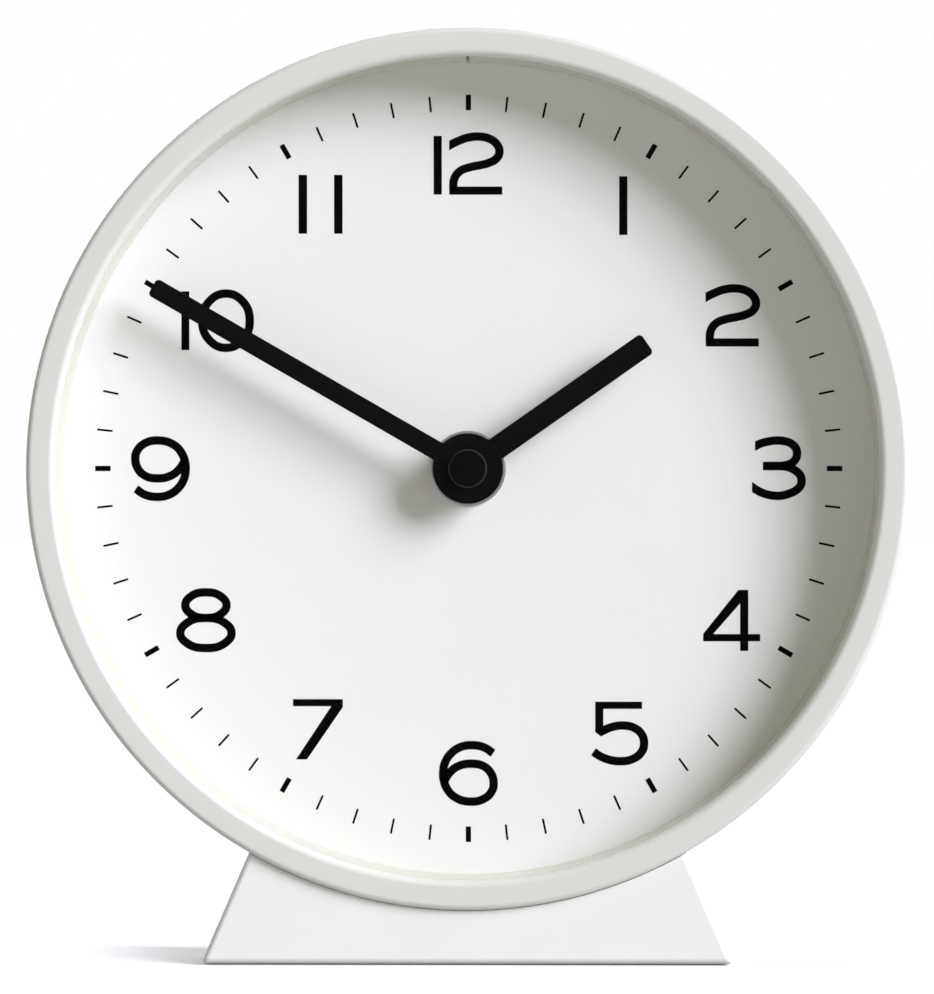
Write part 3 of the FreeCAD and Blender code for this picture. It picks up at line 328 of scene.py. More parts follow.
def moulded(name, colour, roughness, grain=0.35 * MM, depth=0.006 * MM, cloud=0.985):
    """A plastic; cloud is how light its darker clouds are, and depth is that of its grain."""
    finish = Finish(name)
    clouds = finish.noise(cloud_size, detail=3)
    bumps = finish.noise(grain, detail=2)
    finish.put(Base_Color=finish.mix(clouds, shade(colour, cloud), shade(colour, 2 - cloud)))
    finish.put(Roughness=roughness + (clouds - 0.5) * 0.10 + (bumps - 0.5) * 0.12)
    finish.put(Specular_IOR_Level=0.5)
    return finish.relief(bumps, depth).owner


rim_white = moulded("rim_white", paint(213, 214, 208), 0.42, grain=0.5 * MM, depth=0.003 * MM)
plinth_white = moulded("plinth_white", paint(233, 233, 230), 0.5)
cover_white = moulded("cover_white", paint(226, 227, 223), 0.55, grain=0.45 * MM, depth=0.02 * MM)
ring_white = moulded("ring_white", paint(207, 205, 189), 0.10, grain=0.6 * MM, depth=0.0005 * MM)
movement_black = moulded("movement_black", paint(38, 38, 40), 0.5, grain=0.3 * MM, depth=0.015 * MM,
                         cloud=0.9)
knob_black = moulded("knob_black", paint(30, 30, 32), 0.38, grain=0.4 * MM, depth=0.006 * MM, cloud=0.9)
bobbin_black = moulded("bobbin_plastic", paint(34, 34, 36), 0.4, cloud=0.9)
amber_plastic = moulded("amber_resin", paint(206, 160, 84), 0.35, cloud=0.95)
gear_plastic = moulded("gear_resin", paint(236, 234, 226), 0.33, grain=0.5 * MM, depth=0.002 * MM)
foot_rubber = moulded("foot_rubber", paint(46, 46, 46), 0.85, grain=0.25 * MM, depth=0.03 * MM, cloud=0.85)
print("plastics:", len(bpy.data.materials))

# %% [markdown]
# The dial is a thin plastic plate with a matt white face, and the numerals are screen-printed on it
# in black ink. The hands are stamped sheet with a black lacquer. The real black surfaces send back
# hardly any gloss, so their specular level is very low, and only a fine relief and faint patches keep
# them from looking like holes. The cap's chamfer is painted a shade lighter all round: a painted
# highlight that stands in for the gloss the lamp draws on the real edge.

# %% Dial, ink and hands
patch_size = 22 * MM


def lacquered(name, colour, roughness, fibre, depth, sheen, change=0.99):
    """A lacquer; change is how light its darker patches are, and depth is that of its relief."""
    finish = Finish(name)
    fibres = finish.noise(fibre, detail=4)
    patches = finish.noise(patch_size, detail=2)
    finish.put(Base_Color=finish.mix(patches, shade(colour, change), shade(colour, 2 - change)))
    finish.put(Roughness=roughness + (fibres - 0.5) * 0.15, Specular_IOR_Level=sheen)
    return finish.relief(fibres, depth).owner


dial_lacquer = lacquered("dial_lacquer", paint(242, 243, 242), 0.6, 0.25 * MM, 0.003 * MM, 0.3)
print_ink = lacquered("print_ink", paint(4, 4, 4), 0.6, 0.2 * MM, 0.004 * MM, 0.01, 0.8)
hand_lacquer = lacquered("hand_lacquer", paint(8, 8, 9), 0.5, 0.5 * MM, 0.003 * MM, 0.03, 0.8)
cap_lacquer = lacquered("cap_lacquer", paint(6, 6, 9), 0.4, 0.4 * MM, 0.003 * MM, 0.03, 0.8)
# A lighter lacquer for the cap's chamfer faces: a painted highlight.
cap_painted_highlight = lacquered("cap_painted_highlight_lacquer", paint(48, 48, 50), 0.4, 0.4 * MM, 0.003 * MM, 0.04, 0.9)
print("lacquers:", dial_lacquer.name, print_ink.name, hand_lacquer.name, cap_lacquer.name)

# %% [markdown]
# Turned and pressed metal shows fine lines that run round the axis or along the strip. On turned
# pieces the lines are a noise that is read by the distance from the axis alone, so they are closed
# circles. On drawn pieces the noise is stretched along the strip.

# %% Metals
turned_line = 0.12 * MM
line_depth = 0.002 * MM


def turned_metal(name, colour, roughness):
    """Metal with circles round the axis of the hands."""
    finish = Finish(name)
    flat = finish.place(hub, (1, 0, 1))
    radius = finish.node("ShaderNodeVectorMath", {"operation": "LENGTH"}, {0: flat}, out="Value")
    sockets = {"W": radius, "Scale": 1 / turned_line, "Detail": 3.0}
    lines = finish.node("ShaderNodeTexNoise", {"noise_dimensions": "1D"}, sockets)
    patches = finish.noise(3 * MM, detail=3)
    finish.put(Base_Color=finish.mix(patches, shade(colour, 0.9), shade(colour, 1.05)))
    finish.put(Roughness=roughness + (patches - 0.5) * 0.12 + (lines - 0.5) * 0.15, Metallic=1.0)
    return finish.relief(lines, line_depth).owner


def drawn_metal(name, colour, roughness, stretch=(0.08, 1, 1), line=0.15 * MM):
    """Strip or wire with lines along one direction."""
    finish = Finish(name)
    lines = finish.noise(line, detail=3, stretch=stretch)
    patches = finish.noise(4 * MM, detail=3)
    finish.put(Base_Color=finish.mix(patches, shade(colour, 0.88), shade(colour, 1.05)))
    finish.put(Roughness=roughness + (patches - 0.5) * 0.15 + (lines - 0.5) * 0.12, Metallic=1.0)
    return finish.relief(lines, line_depth).owner


washer_zinc = turned_metal("washer_zinc", paint(150, 150, 150), 0.42)
arbor_steel = turned_metal("arbor_steel", paint(196, 196, 194), 0.3)
screw_zinc = drawn_metal("screw_zinc", paint(188, 189, 190), 0.3, stretch=(1, 1, 1), line=0.4 * MM)
contact_nickel = drawn_metal("contact_nickel", paint(205, 202, 192), 0.28, stretch=(1, 0.1, 1))
brass = turned_metal("nut_brass", paint(214, 178, 104), 0.32)
core_iron = drawn_metal("core_iron", paint(150, 150, 152), 0.4)
crystal_can = drawn_metal("crystal_can", paint(200, 200, 200), 0.25, stretch=(1, 1, 0.1))
magnet_grey = turned_metal("magnet_grey", paint(92, 92, 96), 0.45)
print("metals:", washer_zinc.name, arbor_steel.name, screw_zinc.name, brass.name, core_iron.name)

# %% [markdown]
# The coil is wound from lacquered copper wire. Thousands of real turns would be far too heavy, so
# a wave pattern draws them a wire's width apart. The board is green laminate; its tracks are the
# lighter lines where the cells of a cell pattern meet.

# %% Copper wire and board
wire_pitch = 0.14 * MM
track_pitch = 2.2 * MM
track_share = 0.09
# At scale 1 the bands of a wave pattern stand about this far apart
plain_band = 0.31


def wound_copper():
    finish = Finish("copper_wire")
    settings = {"wave_type": "BANDS", "bands_direction": "X", "wave_profile": "SIN"}
    sockets = {"Vector": finish.place(), "Scale": plain_band / wire_pitch, "Distortion": 0.3}
    turns = finish.node("ShaderNodeTexWave", settings, sockets)
    finish.put(Base_Color=finish.mix(turns, paint(120, 58, 30), paint(206, 118, 66)))
    finish.put(Metallic=1.0, Roughness=0.35 + turns * 0.1)
    return finish.relief(turns, 0.05 * MM).owner


def laminate():
    finish = Finish("board_laminate")
    weave = finish.noise(0.4 * MM, detail=2, stretch=(1, 1, 3))
    sockets = {"Vector": finish.place(), "Scale": 1 / track_pitch}
    edge = finish.node("ShaderNodeTexVoronoi", {"feature": "DISTANCE_TO_EDGE"}, sockets)
    fields = edge.above(track_share)
    finish.put(Base_Color=finish.mix(fields, paint(64, 128, 72), paint(30, 84, 48)))
    return finish.put(Roughness=0.35 + weave * 0.2).relief(fields, 0.02 * MM).owner


copper = wound_copper()
board_green = laminate()
print("finishes:", copper.name, board_green.name)

# %% [markdown]
# The cell has a printed jacket: a dark body, a golden band near its positive end and bare metal at
# both ends. A ramp along its length gives all of them in one step.

# %% Cell jacket
def cell_jacket():
    finish = Finish("cell_jacket_print")
    low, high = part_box("battery")
    along = finish.node("ShaderNodeSeparateXYZ", {}, {0: finish.place((low.x, 0, 0))}, out="X")
    share = along * (1 / (high.x - low.x))
    band = finish.node("ShaderNodeValToRGB", {"stops": [
        (0.0, paint(176, 176, 178)), (0.035, paint(176, 176, 178)), (0.037, paint(58, 62, 68)),
        (0.69, paint(58, 62, 68)), (0.692, paint(212, 160, 74)), (0.945, paint(212, 160, 74)),
        (0.947, paint(190, 190, 192)), (1.0, paint(196, 196, 198)),
    ]}, {0: share})
    scuffs = finish.noise(1.5 * MM, detail=4)
    finish.put(Base_Color=finish.mix(scuffs * 0.25, band, paint(120, 120, 120)))
    finish.put(Metallic=0.55, Roughness=0.28 + scuffs * 0.2)
    return finish.relief(scuffs, 0.01 * MM).owner


jacket = cell_jacket()
print("finish:", jacket.name)

# %% [markdown]
# The lens is thin clear sheet. A glass shader would bend light and slow the picture down; in a
# sheet this thin most light goes straight through, so it is a see-through shader that turns into
# a mirror at a flat angle.

# %% Clear lens
def clear_lens():
    finish = Finish("lens_clear_sheet")
    through = finish.node("ShaderNodeBsdfTransparent", {}, {"Color": (0.997, 0.997, 0.995, 1.0)})
    mirror = finish.node("ShaderNodeLayerWeight", {}, {"Blend": 0.06}, out="Fresnel")
    polish = finish.node("ShaderNodeBsdfGlossy", {}, {"Roughness": 0.04})
    glass = finish.node("ShaderNodeMixShader", {}, {0: mirror, 1: through, 2: polish})
    finish.feed(finish.tree.nodes["Material Output"].inputs["Surface"], glass)
    return finish.owner


lens_glass = clear_lens()
print("finish:", lens_glass.name)

# %% [markdown]
# Solids whose shape is already right keep their mesh and only change their material. The table
# below gives every solid its finish; the finer pieces that follow hide some of them again.

# %% Finishes of the solids
solid_finishes = {
    rim_white: ("front_bezel", "case_drum"),
    plinth_white: ("base_plinth", "base_plate"),
    cover_white: ("back_cover",),
    ring_white: ("reflector_ring",),
    dial_lacquer: ("dial_plate",),
    lens_glass: ("lens",),
    hand_lacquer: ("hour_hand", "minute_hand"),
    cap_lacquer: ("hand_cap_nut",),
    washer_zinc: ("dial_washer",),
    brass: ("fixing_nut",),
    foot_rubber: ("base_feet", "rubber_washer"),
    screw_zinc: ("back_cover_screws", "base_screws", "bridge_screws"),
    movement_black: ("movement_front_plate", "movement_rear_housing"),
    knob_black: ("setting_knob",),
    amber_plastic: ("train_bridge",),
    core_iron: ("stator", "coil_core"),
    bobbin_black: ("coil_bobbin",),
    copper: ("coil_winding",),
    magnet_grey: ("rotor",),
    gear_plastic: ("seconds_wheel", "third_wheel", "centre_wheel", "intermediate_wheel",
                   "reversing_wheel", "hour_wheel"),
    arbor_steel: ("minute_arbor",),
    jacket: ("battery",),
    contact_nickel: ("battery_contact_positive", "battery_contact_negative"),
    board_green: ("circuit_board",),
    crystal_can: ("quartz_crystal",),
}
for finish, names in solid_finishes.items():
    for name in names:
        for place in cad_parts[name].material_slots:
            place.material = finish
finished_nodes = {name for names in solid_finishes.values() for name in names}
print("solids without a finish:", sorted(set(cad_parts) - finished_nodes))

# %% [markdown]
# Every new piece ends the same way: doubles merged, faces turned outwards, smooth shading with a
# crease wherever two faces meet at more than 35 degrees, and weighted normals so that flat faces
# stay flat beside their rounded edges. Then it rides on its body and stands for its solid.

# %% Finishing a piece
crease = math.radians(35)
same_place = 1e-7


def finish_piece(work, name, finish, body, slot, *solids):
    """Turn a bmesh into a piece that rides on a body and stands for its solids."""
    bmesh.ops.remove_doubles(work, verts=work.verts, dist=same_place)
    bmesh.ops.recalc_face_normals(work, faces=work.faces)
    for face in work.faces:
        face.smooth = True
    for edge in work.edges:
        edge.smooth = len(edge.link_faces) != 2 or edge.calc_face_angle() < crease
    mesh = bpy.data.meshes.new(name)
    work.to_mesh(mesh)
    work.free()
    mesh.materials.append(finish)
    piece = bpy.data.objects.new(name, mesh)
    bpy.context.scene.collection.objects.link(piece)
    weights = piece.modifiers.new("flat_faces", "WEIGHTED_NORMAL")
    weights.keep_sharp = True
    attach(piece, body)
    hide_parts(*solids)
    print(name, len(mesh.polygons), "faces")
    return piece


# %% [markdown]
# Turned pieces come from half a section. The corners are a few vertices; each corner that is
# rounded is bevelled while the section is still flat, and then the section is spun round the axis.

# %% Turning a section
def turned(corners, centre, steps=192, segments=6):
    """Spin a closed section of (radius, y, rounding) corners round the axis through centre."""
    work = bmesh.new()
    points = [work.verts.new((centre.x + radius, y, centre.z)) for radius, y, _ in corners]
    section = work.faces.new(points)
    for point, (_, _, rounding) in zip(points, corners):
        if rounding:
            bmesh.ops.bevel(work, geom=[point], offset=rounding, affect="VERTICES",
                            segments=segments, profile=0.5, material=-1)
    bmesh.ops.delete(work, geom=list(work.faces), context="FACES_ONLY")
    bmesh.ops.spin(work, geom=list(work.verts) + list(work.edges), cent=centre, axis=(0, 1, 0),
                   angle=math.tau, steps=steps, use_merge=True)
    bmesh.ops.remove_doubles(work, verts=work.verts, dist=same_place)
    loose = [edge for edge in work.edges if not edge.link_faces]
    bmesh.ops.delete(work, geom=loose, context="EDGES")
    return work


def radius_of(node):
    low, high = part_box(node)
    return (high.x - low.x) / 2


case_radius = radius_of("front_bezel")
print("case radius", round(case_radius, 4))

# %% [markdown]
# The bezel is a moulded ring: a broad rim in front, with a skirt behind it that closes on the drum
# and a seat for the lens. Its two front corners are well rounded, and the light on them is what
# draws the edge of the whole clock.

# %% Bezel
bezel_low, bezel_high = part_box("front_bezel")
lens_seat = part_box("lens")[0].y
rim_width = 5.8 * MM
skirt_wall = 1.5 * MM
rim_inner = case_radius - rim_width
skirt_inner = case_radius - skirt_wall
bezel = turned([
    (rim_inner, bezel_low.y, 1.4 * MM),
    (case_radius, bezel_low.y, 1.2 * MM),
    (case_radius, bezel_high.y, 0.15 * MM),
    (skirt_inner, bezel_high.y, 0.1 * MM),
    (skirt_inner, lens_seat, 0),
    (rim_inner, lens_seat, 0.2 * MM),
], hub, steps=256, segments=7)
finish_piece(bezel, "bezel_ring", rim_white, "case", "case_white", "front_bezel")

# %% [markdown]
# Two small tools serve several pieces: one gives a flat outline its thickness, the other breaks
# sharp edges with a bevel, because no real edge is perfectly sharp.

# %% Walls and soft edges
sharp_angle = 0.9


def thicken(work, step):
    """Give a flat outline a wall along step."""
    raised = bmesh.ops.extrude_face_region(work, geom=list(work.faces))
    moved = [item for item in raised["geom"] if isinstance(item, bmesh.types.BMVert)]
    bmesh.ops.translate(work, verts=moved, vec=step)
    bmesh.ops.recalc_face_normals(work, faces=work.faces)


def break_edges(work, size, segments, wanted=None):
    """Round the sharp edges of a closed piece, or only those whose middle passes a test."""
    sharp = [edge for edge in work.edges if edge.calc_face_angle(0) > sharp_angle]
    if wanted:
        sharp = [edge for edge in sharp if wanted((edge.verts[0].co + edge.verts[1].co) / 2)]
    bmesh.ops.bevel(work, geom=sharp, offset=size, affect="EDGES", segments=segments, profile=0.5,
                    material=-1)


print("edges are sharp above", round(math.degrees(sharp_angle)), "degrees")

# %% [markdown]
# The plinth is a moulded trapezoid with a saddle for the drum. Its front is one outline: two
# corners at the floor, two cheeks where the leaning ends meet the saddle, and the saddle's arc,
# which is one vertex spun about the drum's axis. The outline gets its depth, then soft edges.
# The underside is set in and pushed up, as in a real hollow moulding.

# %% Plinth
plinth_lean = math.radians(23.4)
saddle_gap = 0.15 * MM
# The sharp corner lies outside the solid's box, because rounding takes its tip away
tip_length = 1.0 * MM
plinth_wall = 2.9 * MM
hollow_depth = 5 * MM
plinth_rounding = 1.2 * MM
touching = 1e-6


def plinth_shell():
    low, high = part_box("base_plinth")
    lean = math.tan(plinth_lean)
    saddle = case_radius + saddle_gap
    drop = hub.z - low.z
    foot = high.x + tip_length
    reach = foot - drop * lean
    # Where the leaning end, x = reach + lean * (hub.z - z), meets the saddle's circle
    rise = (math.sqrt(saddle ** 2 * (1 + lean ** 2) - reach ** 2) - reach * lean) / (1 + lean ** 2)
    cheek = reach + lean * rise
    half_arc = math.asin(cheek / saddle)
    centre = Vector((hub.x, low.y, hub.z))
    work = bmesh.new()
    start = work.verts.new((cheek, low.y, hub.z - rise))
    made = bmesh.ops.spin(work, geom=[start], cent=centre, axis=(0, 1, 0), angle=2 * half_arc,
                          steps=64, use_merge=False)
    end = next(item for item in made["geom_last"] if isinstance(item, bmesh.types.BMVert))
    feet = [work.verts.new((side * foot, low.y, low.z)) for side in (-1, 1)]
    for first, second in ((end, feet[0]), (feet[0], feet[1]), (feet[1], start)):
        work.edges.new((first, second))
    bmesh.ops.contextual_create(work, geom=list(work.edges))
    thicken(work, Vector((0, high.y - low.y, 0)))
    under = [face for face in work.faces if abs(face.calc_center_median().z - low.z) < touching]
    bmesh.ops.inset_region(work, faces=under, thickness=plinth_wall)
    hollow = bmesh.ops.extrude_discrete_faces(work, faces=under)["faces"]
    bmesh.ops.translate(work, verts=list(hollow[0].verts), vec=(0, 0, hollow_depth))

    def outer(middle):
        """Not an edge of the hollow, and not one on the saddle."""
        inside = abs(middle.x) < foot - 2 * MM and low.y + MM < middle.y < high.y - MM
        return not inside and math.hypot(middle.x - hub.x, middle.z - hub.z) > saddle + 0.3 * MM
    break_edges(work, plinth_rounding, 6, outer)
    print("cheeks at", round(cheek, 4), "height", round(hub.z - rise, 4))
    return work


finish_piece(plinth_shell(), "plinth_shell", plinth_white, "case", "case_white", "base_plinth")

# %% [markdown]
# Pieces whose solid is right but looks faceted are copied from it: the loose triangles are merged
# and flat neighbours are dissolved into whole faces. The smooth shading of a finished piece then
# hides the facets of the tubes. Modelling them again would only repeat the solid's own shape.

# %% Smooth copies of solids
welding = 1e-6
flat_angle = math.radians(0.5)


def smooth_copy(node, name, finish, body, slot):
    work = bmesh.new()
    work.from_mesh(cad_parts[node].data)
    bmesh.ops.remove_doubles(work, verts=work.verts, dist=welding)
    bmesh.ops.dissolve_limit(work, angle_limit=flat_angle, verts=work.verts, edges=work.edges)
    finish_piece(work, name, finish, body, slot, node)


smooth_copy("case_drum", "drum_shell", rim_white, "case", "case_white")
smooth_copy("back_cover", "rear_cover", cover_white, "case", "case_white")
smooth_copy("movement_rear_housing", "movement_tray", movement_black, "case", "black_plastic")
smooth_copy("setting_knob", "fluted_knob", knob_black, "setting_group", "black_plastic")
smooth_copy("reflector_ring", "deep_ring", ring_white, "case", "case_white")
smooth_copy("battery", "cell_body", jacket, "battery_group", "cell_jacket")

# %% [markdown]
# The feet are rubber discs with soft edges. A disc could be turned like the bezel, but a cone with
# equal ends, placed upright under the base, is a disc in one step.

# %% Feet
feet_low, feet_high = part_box("base_feet")
foot_radius = 5 * MM
foot_rounding = 0.35 * MM
foot_height = feet_high.z - feet_low.z
foot_middle = feet_low.z + foot_height / 2
feet = bmesh.new()
for x in (feet_low.x + foot_radius, feet_high.x - foot_radius):
    for y in (feet_low.y + foot_radius, feet_high.y - foot_radius):
        bmesh.ops.create_cone(feet, cap_ends=True, segments=48, radius1=foot_radius, radius2=foot_radius,
                              depth=foot_height, matrix=Matrix.Translation((x, y, foot_middle)))
break_edges(feet, foot_rounding, 3)
finish_piece(feet, "rubber_feet", foot_rubber, "case", "black_rubber", "base_feet")

# %% [markdown]
# The four cover screws are pan heads with a cross recess. A head is a turned section with a
# rounded rim. Its cross is two crossing slots, each a box that a boolean takes out of the head.

# %% Cover screws
def pan_screw(centre, front_y, head_radius, head_height, shank_radius, length):
    """A screw along the clock's depth, its head towards the rear."""
    head_y = front_y + length
    return turned([
        (0, front_y, 0),
        (shank_radius * 0.4, front_y, 0),
        (shank_radius, front_y + 1.2 * MM, 0.2 * MM),
        (shank_radius, head_y, 0.1 * MM),
        (head_radius, head_y, 0.1 * MM),
        (head_radius, head_y + head_height, head_height * 0.55),
        (0, head_y + head_height, 0),
    ], centre, steps=48, segments=5)


def cut_slot(piece, place, sides):
    """Take a box out of a piece; the boolean is applied at once."""
    work = bmesh.new()
    bmesh.ops.create_cube(work, size=1, matrix=place @ Matrix.Diagonal((*sides, 1)))
    mesh = bpy.data.meshes.new("slot_cutter")
    work.to_mesh(mesh)
    work.free()
    cutter = bpy.data.objects.new("slot_cutter", mesh)
    bpy.context.scene.collection.objects.link(cutter)
    recess = piece.modifiers.new("slot", "BOOLEAN")
    recess.operation = "DIFFERENCE"
    recess.object = cutter
    depsgraph = bpy.context.evaluated_depsgraph_get()
    cut = bpy.data.meshes.new_from_object(piece.evaluated_get(depsgraph))
    piece.modifiers.remove(recess)
    piece.data = cut
    bpy.data.objects.remove(cutter)


screws_low, screws_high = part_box("back_cover_screws")
head_radius = 2.8 * MM
head_height = 1.8 * MM
shank_radius = 1.3 * MM
shank_length = 9 * MM
slot_sides = (3 * MM, 2.2 * MM, 0.55 * MM)
for number, (side, level) in enumerate(((1, 1), (1, -1), (-1, -1), (-1, 1))):
    x = screws_high.x - head_radius if side > 0 else screws_low.x + head_radius
    z = screws_high.z - head_radius if level > 0 else screws_low.z + head_radius
    centre = Vector((x, 0, z))
    blank = pan_screw(centre, screws_low.y, head_radius, head_height, shank_radius, shank_length)
    screw = finish_piece(blank, f"cover_screw_{number}", screw_zinc, "case", "bright_steel",
                         "back_cover_screws")
    for turn in (0, 90):
        across = Matrix.Rotation(math.radians(turn), 4, "Y")
        cut_slot(screw, Matrix.Translation((x, screws_high.y, z)) @ across, slot_sides)
print("the last cover screw has", len(screw.data.polygons), "faces with its cross")

# %% [markdown]
# The hands are straight blades on a round hub, cut from thin sheet. The outline of the hub is one
# vertex spun nearly all the way round; the blade's two corners join its ends. Their sheared edges
# are broken by a tenth of a millimetre, which is what catches light along a real hand.

# %% Hands
hub_radius = 7.02 * MM
tip_rounding = 0.9 * MM
sheared_edge = 0.1 * MM


def hand_blade(front_y, length, width, thickness, angle):
    """A hand that points up from the hub and is turned clockwise by its angle, in degrees."""
    root = math.asin(width / 2 / hub_radius)
    centre = Vector((hub.x, front_y, hub.z))
    work = bmesh.new()
    first = work.verts.new(centre + Vector((width / 2, 0, hub_radius * math.cos(root))))
    made = bmesh.ops.spin(work, geom=[first], cent=centre, axis=(0, 1, 0), angle=math.tau - 2 * root,
                          steps=80, use_merge=False)
    last = next(item for item in made["geom_last"] if isinstance(item, bmesh.types.BMVert))
    tips = [work.verts.new(centre + Vector((side * width / 2, 0, length))) for side in (-1, 1)]
    for start, end in ((last, tips[0]), (tips[0], tips[1]), (tips[1], first)):
        work.edges.new((start, end))
    bmesh.ops.contextual_create(work, geom=list(work.edges))
    bmesh.ops.bevel(work, geom=tips, offset=tip_rounding, affect="VERTICES", segments=6, profile=0.5,
                    material=-1)
    thicken(work, Vector((0, thickness, 0)))
    break_edges(work, sheared_edge, 2)
    bmesh.ops.rotate(work, verts=work.verts, cent=hub, matrix=Matrix.Rotation(math.radians(angle), 3, "Y"))
    return work


minute_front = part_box("minute_hand")[0].y
hour_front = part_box("hour_hand")[0].y
minute = hand_blade(minute_front, length=72.5 * MM, width=3.8 * MM, thickness=0.7 * MM, angle=300)
finish_piece(minute, "minute_blade", hand_lacquer, "minute_hand_group", "hand_black", "minute_hand")
hour = hand_blade(hour_front, length=43.6 * MM, width=4.65 * MM, thickness=0.8 * MM, angle=55)
finish_piece(hour, "hour_blade", hand_lacquer, "hour_hand_group", "hand_black", "hour_hand")

# %% [markdown]
# The cap nut is turned from bar: a flat face with a narrow chamfer. The chamfer's faces get the
# lighter finish, a painted highlight that draws the thin bright ring of the real edge. The washer
# behind the hands is a plain ring, pressed from sheet, with a soft outer edge.

# %% Cap nut and dial washer
cap_low, cap_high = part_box("hand_cap_nut")
cap_radius = radius_of("hand_cap_nut")
chamfer_width = 0.3 * MM
chamfer_depth = 0.45 * MM
cap = turned([
    (0, cap_low.y, 0),
    (cap_radius - chamfer_width, cap_low.y, 0),
    (cap_radius, cap_low.y + chamfer_depth, 0),
    (cap_radius, cap_high.y, 0.05 * MM),
    (0, cap_high.y, 0),
], hub, steps=96, segments=3)
cap_piece = finish_piece(cap, "cap_button", cap_lacquer, "minute_hand_group", "hand_black", "hand_cap_nut")
# The chamfer's faces take the lighter lacquer: a painted highlight of the lamp on the edge.
cap_piece.data.materials.append(cap_painted_highlight)
for face in cap_piece.data.polygons:
    slanted = 0.2 < -face.normal.y < 0.97
    face.material_index = 1 if slanted else 0

washer_low, washer_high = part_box("dial_washer")
washer_radius = radius_of("dial_washer")
washer_bore = 4.1 * MM
washer = turned([
    (washer_bore, washer_low.y, 0.1 * MM),
    (washer_radius, washer_low.y, 0.25 * MM),
    (washer_radius, washer_high.y, 0),
    (washer_bore, washer_high.y, 0),
], hub, steps=96, segments=4)
finish_piece(washer, "washer_disc", washer_zinc, "case", "bright_steel", "dial_washer")

# %% [markdown]
# The print on the dial is a raised film a fiftieth of a millimetre thick. It is drawn flat, with
# x to the right and y up from the hub, and is then stood up on the dial. Bars and angular strokes
# are outlines; round strokes are curves whose flat extrusion lies in the drawing, which keeps
# their width even all the way.

# %% Drawing tools for the print
stroke_width = 1.7 * MM
ink_film = 0.02 * MM


def outline_shape(work, corners, centre, holes=()):
    """A filled outline, in millimetres from its own centre; holes are outlines inside it."""
    edges = []
    for loop in (corners, *holes):
        points = [work.verts.new(((centre[0] + x) * MM, (centre[1] + y) * MM, 0)) for x, y in loop]
        edges += [work.edges.new((start, end)) for start, end in zip(points, points[1:] + points[:1])]
    bmesh.ops.triangle_fill(work, edges=edges, use_beauty=True)


def bar(work, centre, width, height):
    x, y = width / 2, height / 2
    outline_shape(work, [(-x, -y), (x, -y), (x, y), (-x, y)], centre)


def round_stroke(work, path, centre, closed=False, turn=1, cut_left=None):
    """An even stroke along millimetre points. Turn -1 is upside down; cut_left trims its left end."""
    curve = bpy.data.curves.new("stroke", "CURVE")
    curve.dimensions = "3D"
    curve.twist_mode = "Z_UP"
    curve.extrude = stroke_width / 2
    spline = curve.splines.new("BEZIER")
    spline.bezier_points.add(len(path) - 1)
    spline.use_cyclic_u = closed
    spline.resolution_u = 10
    for point, (x, y) in zip(spline.bezier_points, path):
        point.co = ((centre[0] + turn * x) * MM, (centre[1] + turn * y) * MM, 0)
        point.handle_left_type = point.handle_right_type = "AUTO"
        point.tilt = math.pi / 2
    holder = bpy.data.objects.new("stroke", curve)
    flat = bpy.data.meshes.new_from_object(holder)
    part = bmesh.new()
    part.from_mesh(flat)
    if cut_left is not None:
        place = ((centre[0] + cut_left) * MM, 0, 0)
        bmesh.ops.bisect_plane(part, geom=list(part.verts) + list(part.edges) + list(part.faces),
                               plane_co=place, plane_no=(-1, 0, 0), clear_outer=True)
    trimmed = bpy.data.meshes.new("stroke")
    part.to_mesh(trimmed)
    part.free()
    work.from_mesh(trimmed)
    bpy.data.objects.remove(holder)


def oval(across, up):
    """Eight points of an oval."""
    turns = [math.tau * step / 8 for step in range(8)]
    return [(across * math.cos(turn), up * math.sin(turn)) for turn in turns]


# %% [markdown]
# The figures are plain upright ones of an even stroke. A font would bring its own shapes, so each
# figure is drawn here about its own middle, from bars, outlines and round strokes.

# %% Figures one to four
def figure_one(work, centre):
    bar(work, centre, 1.64, 11.75)


def figure_two(work, centre):
    path = [(-6.3, 3.1), (-5.06, 3.84), (-3.73, 4.48), (-1.95, 5.15), (0.59, 5.42), (2.66, 4.98),
            (4.1, 3.9), (4.64, 2.46), (4.12, 1.13), (2.6, 0.2), (0.82, -0.28), (-1.49, -0.76), (-3.4, -1.6),
            (-4.32, -2.84), (-4.62, -4.4), (-4.62, -5.4)]
    round_stroke(work, path, centre, cut_left=-5.44)
    bar(work, (centre[0] - 0.09, centre[1] - 5.385), 10.6, 1.63)


def figure_three(work, centre):
    upper = [(-5.8, 3.75), (-4.67, 4.47), (-3.32, 5.08), (-1.78, 5.45), (-0.31, 5.6), (1.42, 5.42),
             (2.8, 4.8), (3.55, 3.85), (3.7, 2.91), (3.44, 1.93), (2.65, 1.13), (1.42, 0.66),
             (0.14, 0.49), (-3.13, 0.49)]
    lower = [(-3.0, 0.49), (0.14, 0.49), (1.86, 0.28), (3.34, -0.4), (4.3, -1.3), (4.62, -2.4),
             (4.36, -3.49), (3.46, -4.39), (2.18, -5.0), (0.9, -5.38), (-0.25, -5.48), (-1.91, -5.28),
             (-3.39, -4.81), (-4.35, -4.3), (-5.27, -3.71), (-6.4, -2.9)]
    round_stroke(work, upper, centre, cut_left=-4.7)
    round_stroke(work, lower, centre, cut_left=-5.3)


def figure_four(work, centre):
    corners = [(1.33, 6.11), (3.32, 6.11), (3.32, -2.74), (5.71, -2.74), (5.71, -4.18), (3.32, -4.18),
               (3.32, -6.11), (1.68, -6.11), (1.68, -4.18), (-5.71, -4.18), (-5.71, -2.68)]
    outline_shape(work, corners, centre, holes=[[(1.68, 3.4), (1.68, -2.74), (-3.7, -2.74)]])


print("figures drawn: one to four")

# %% [markdown]
# A five is a flag of straight strokes on a bowl. The nine is the six turned upside down, so one
# path serves both, and the eight is two closed ovals.

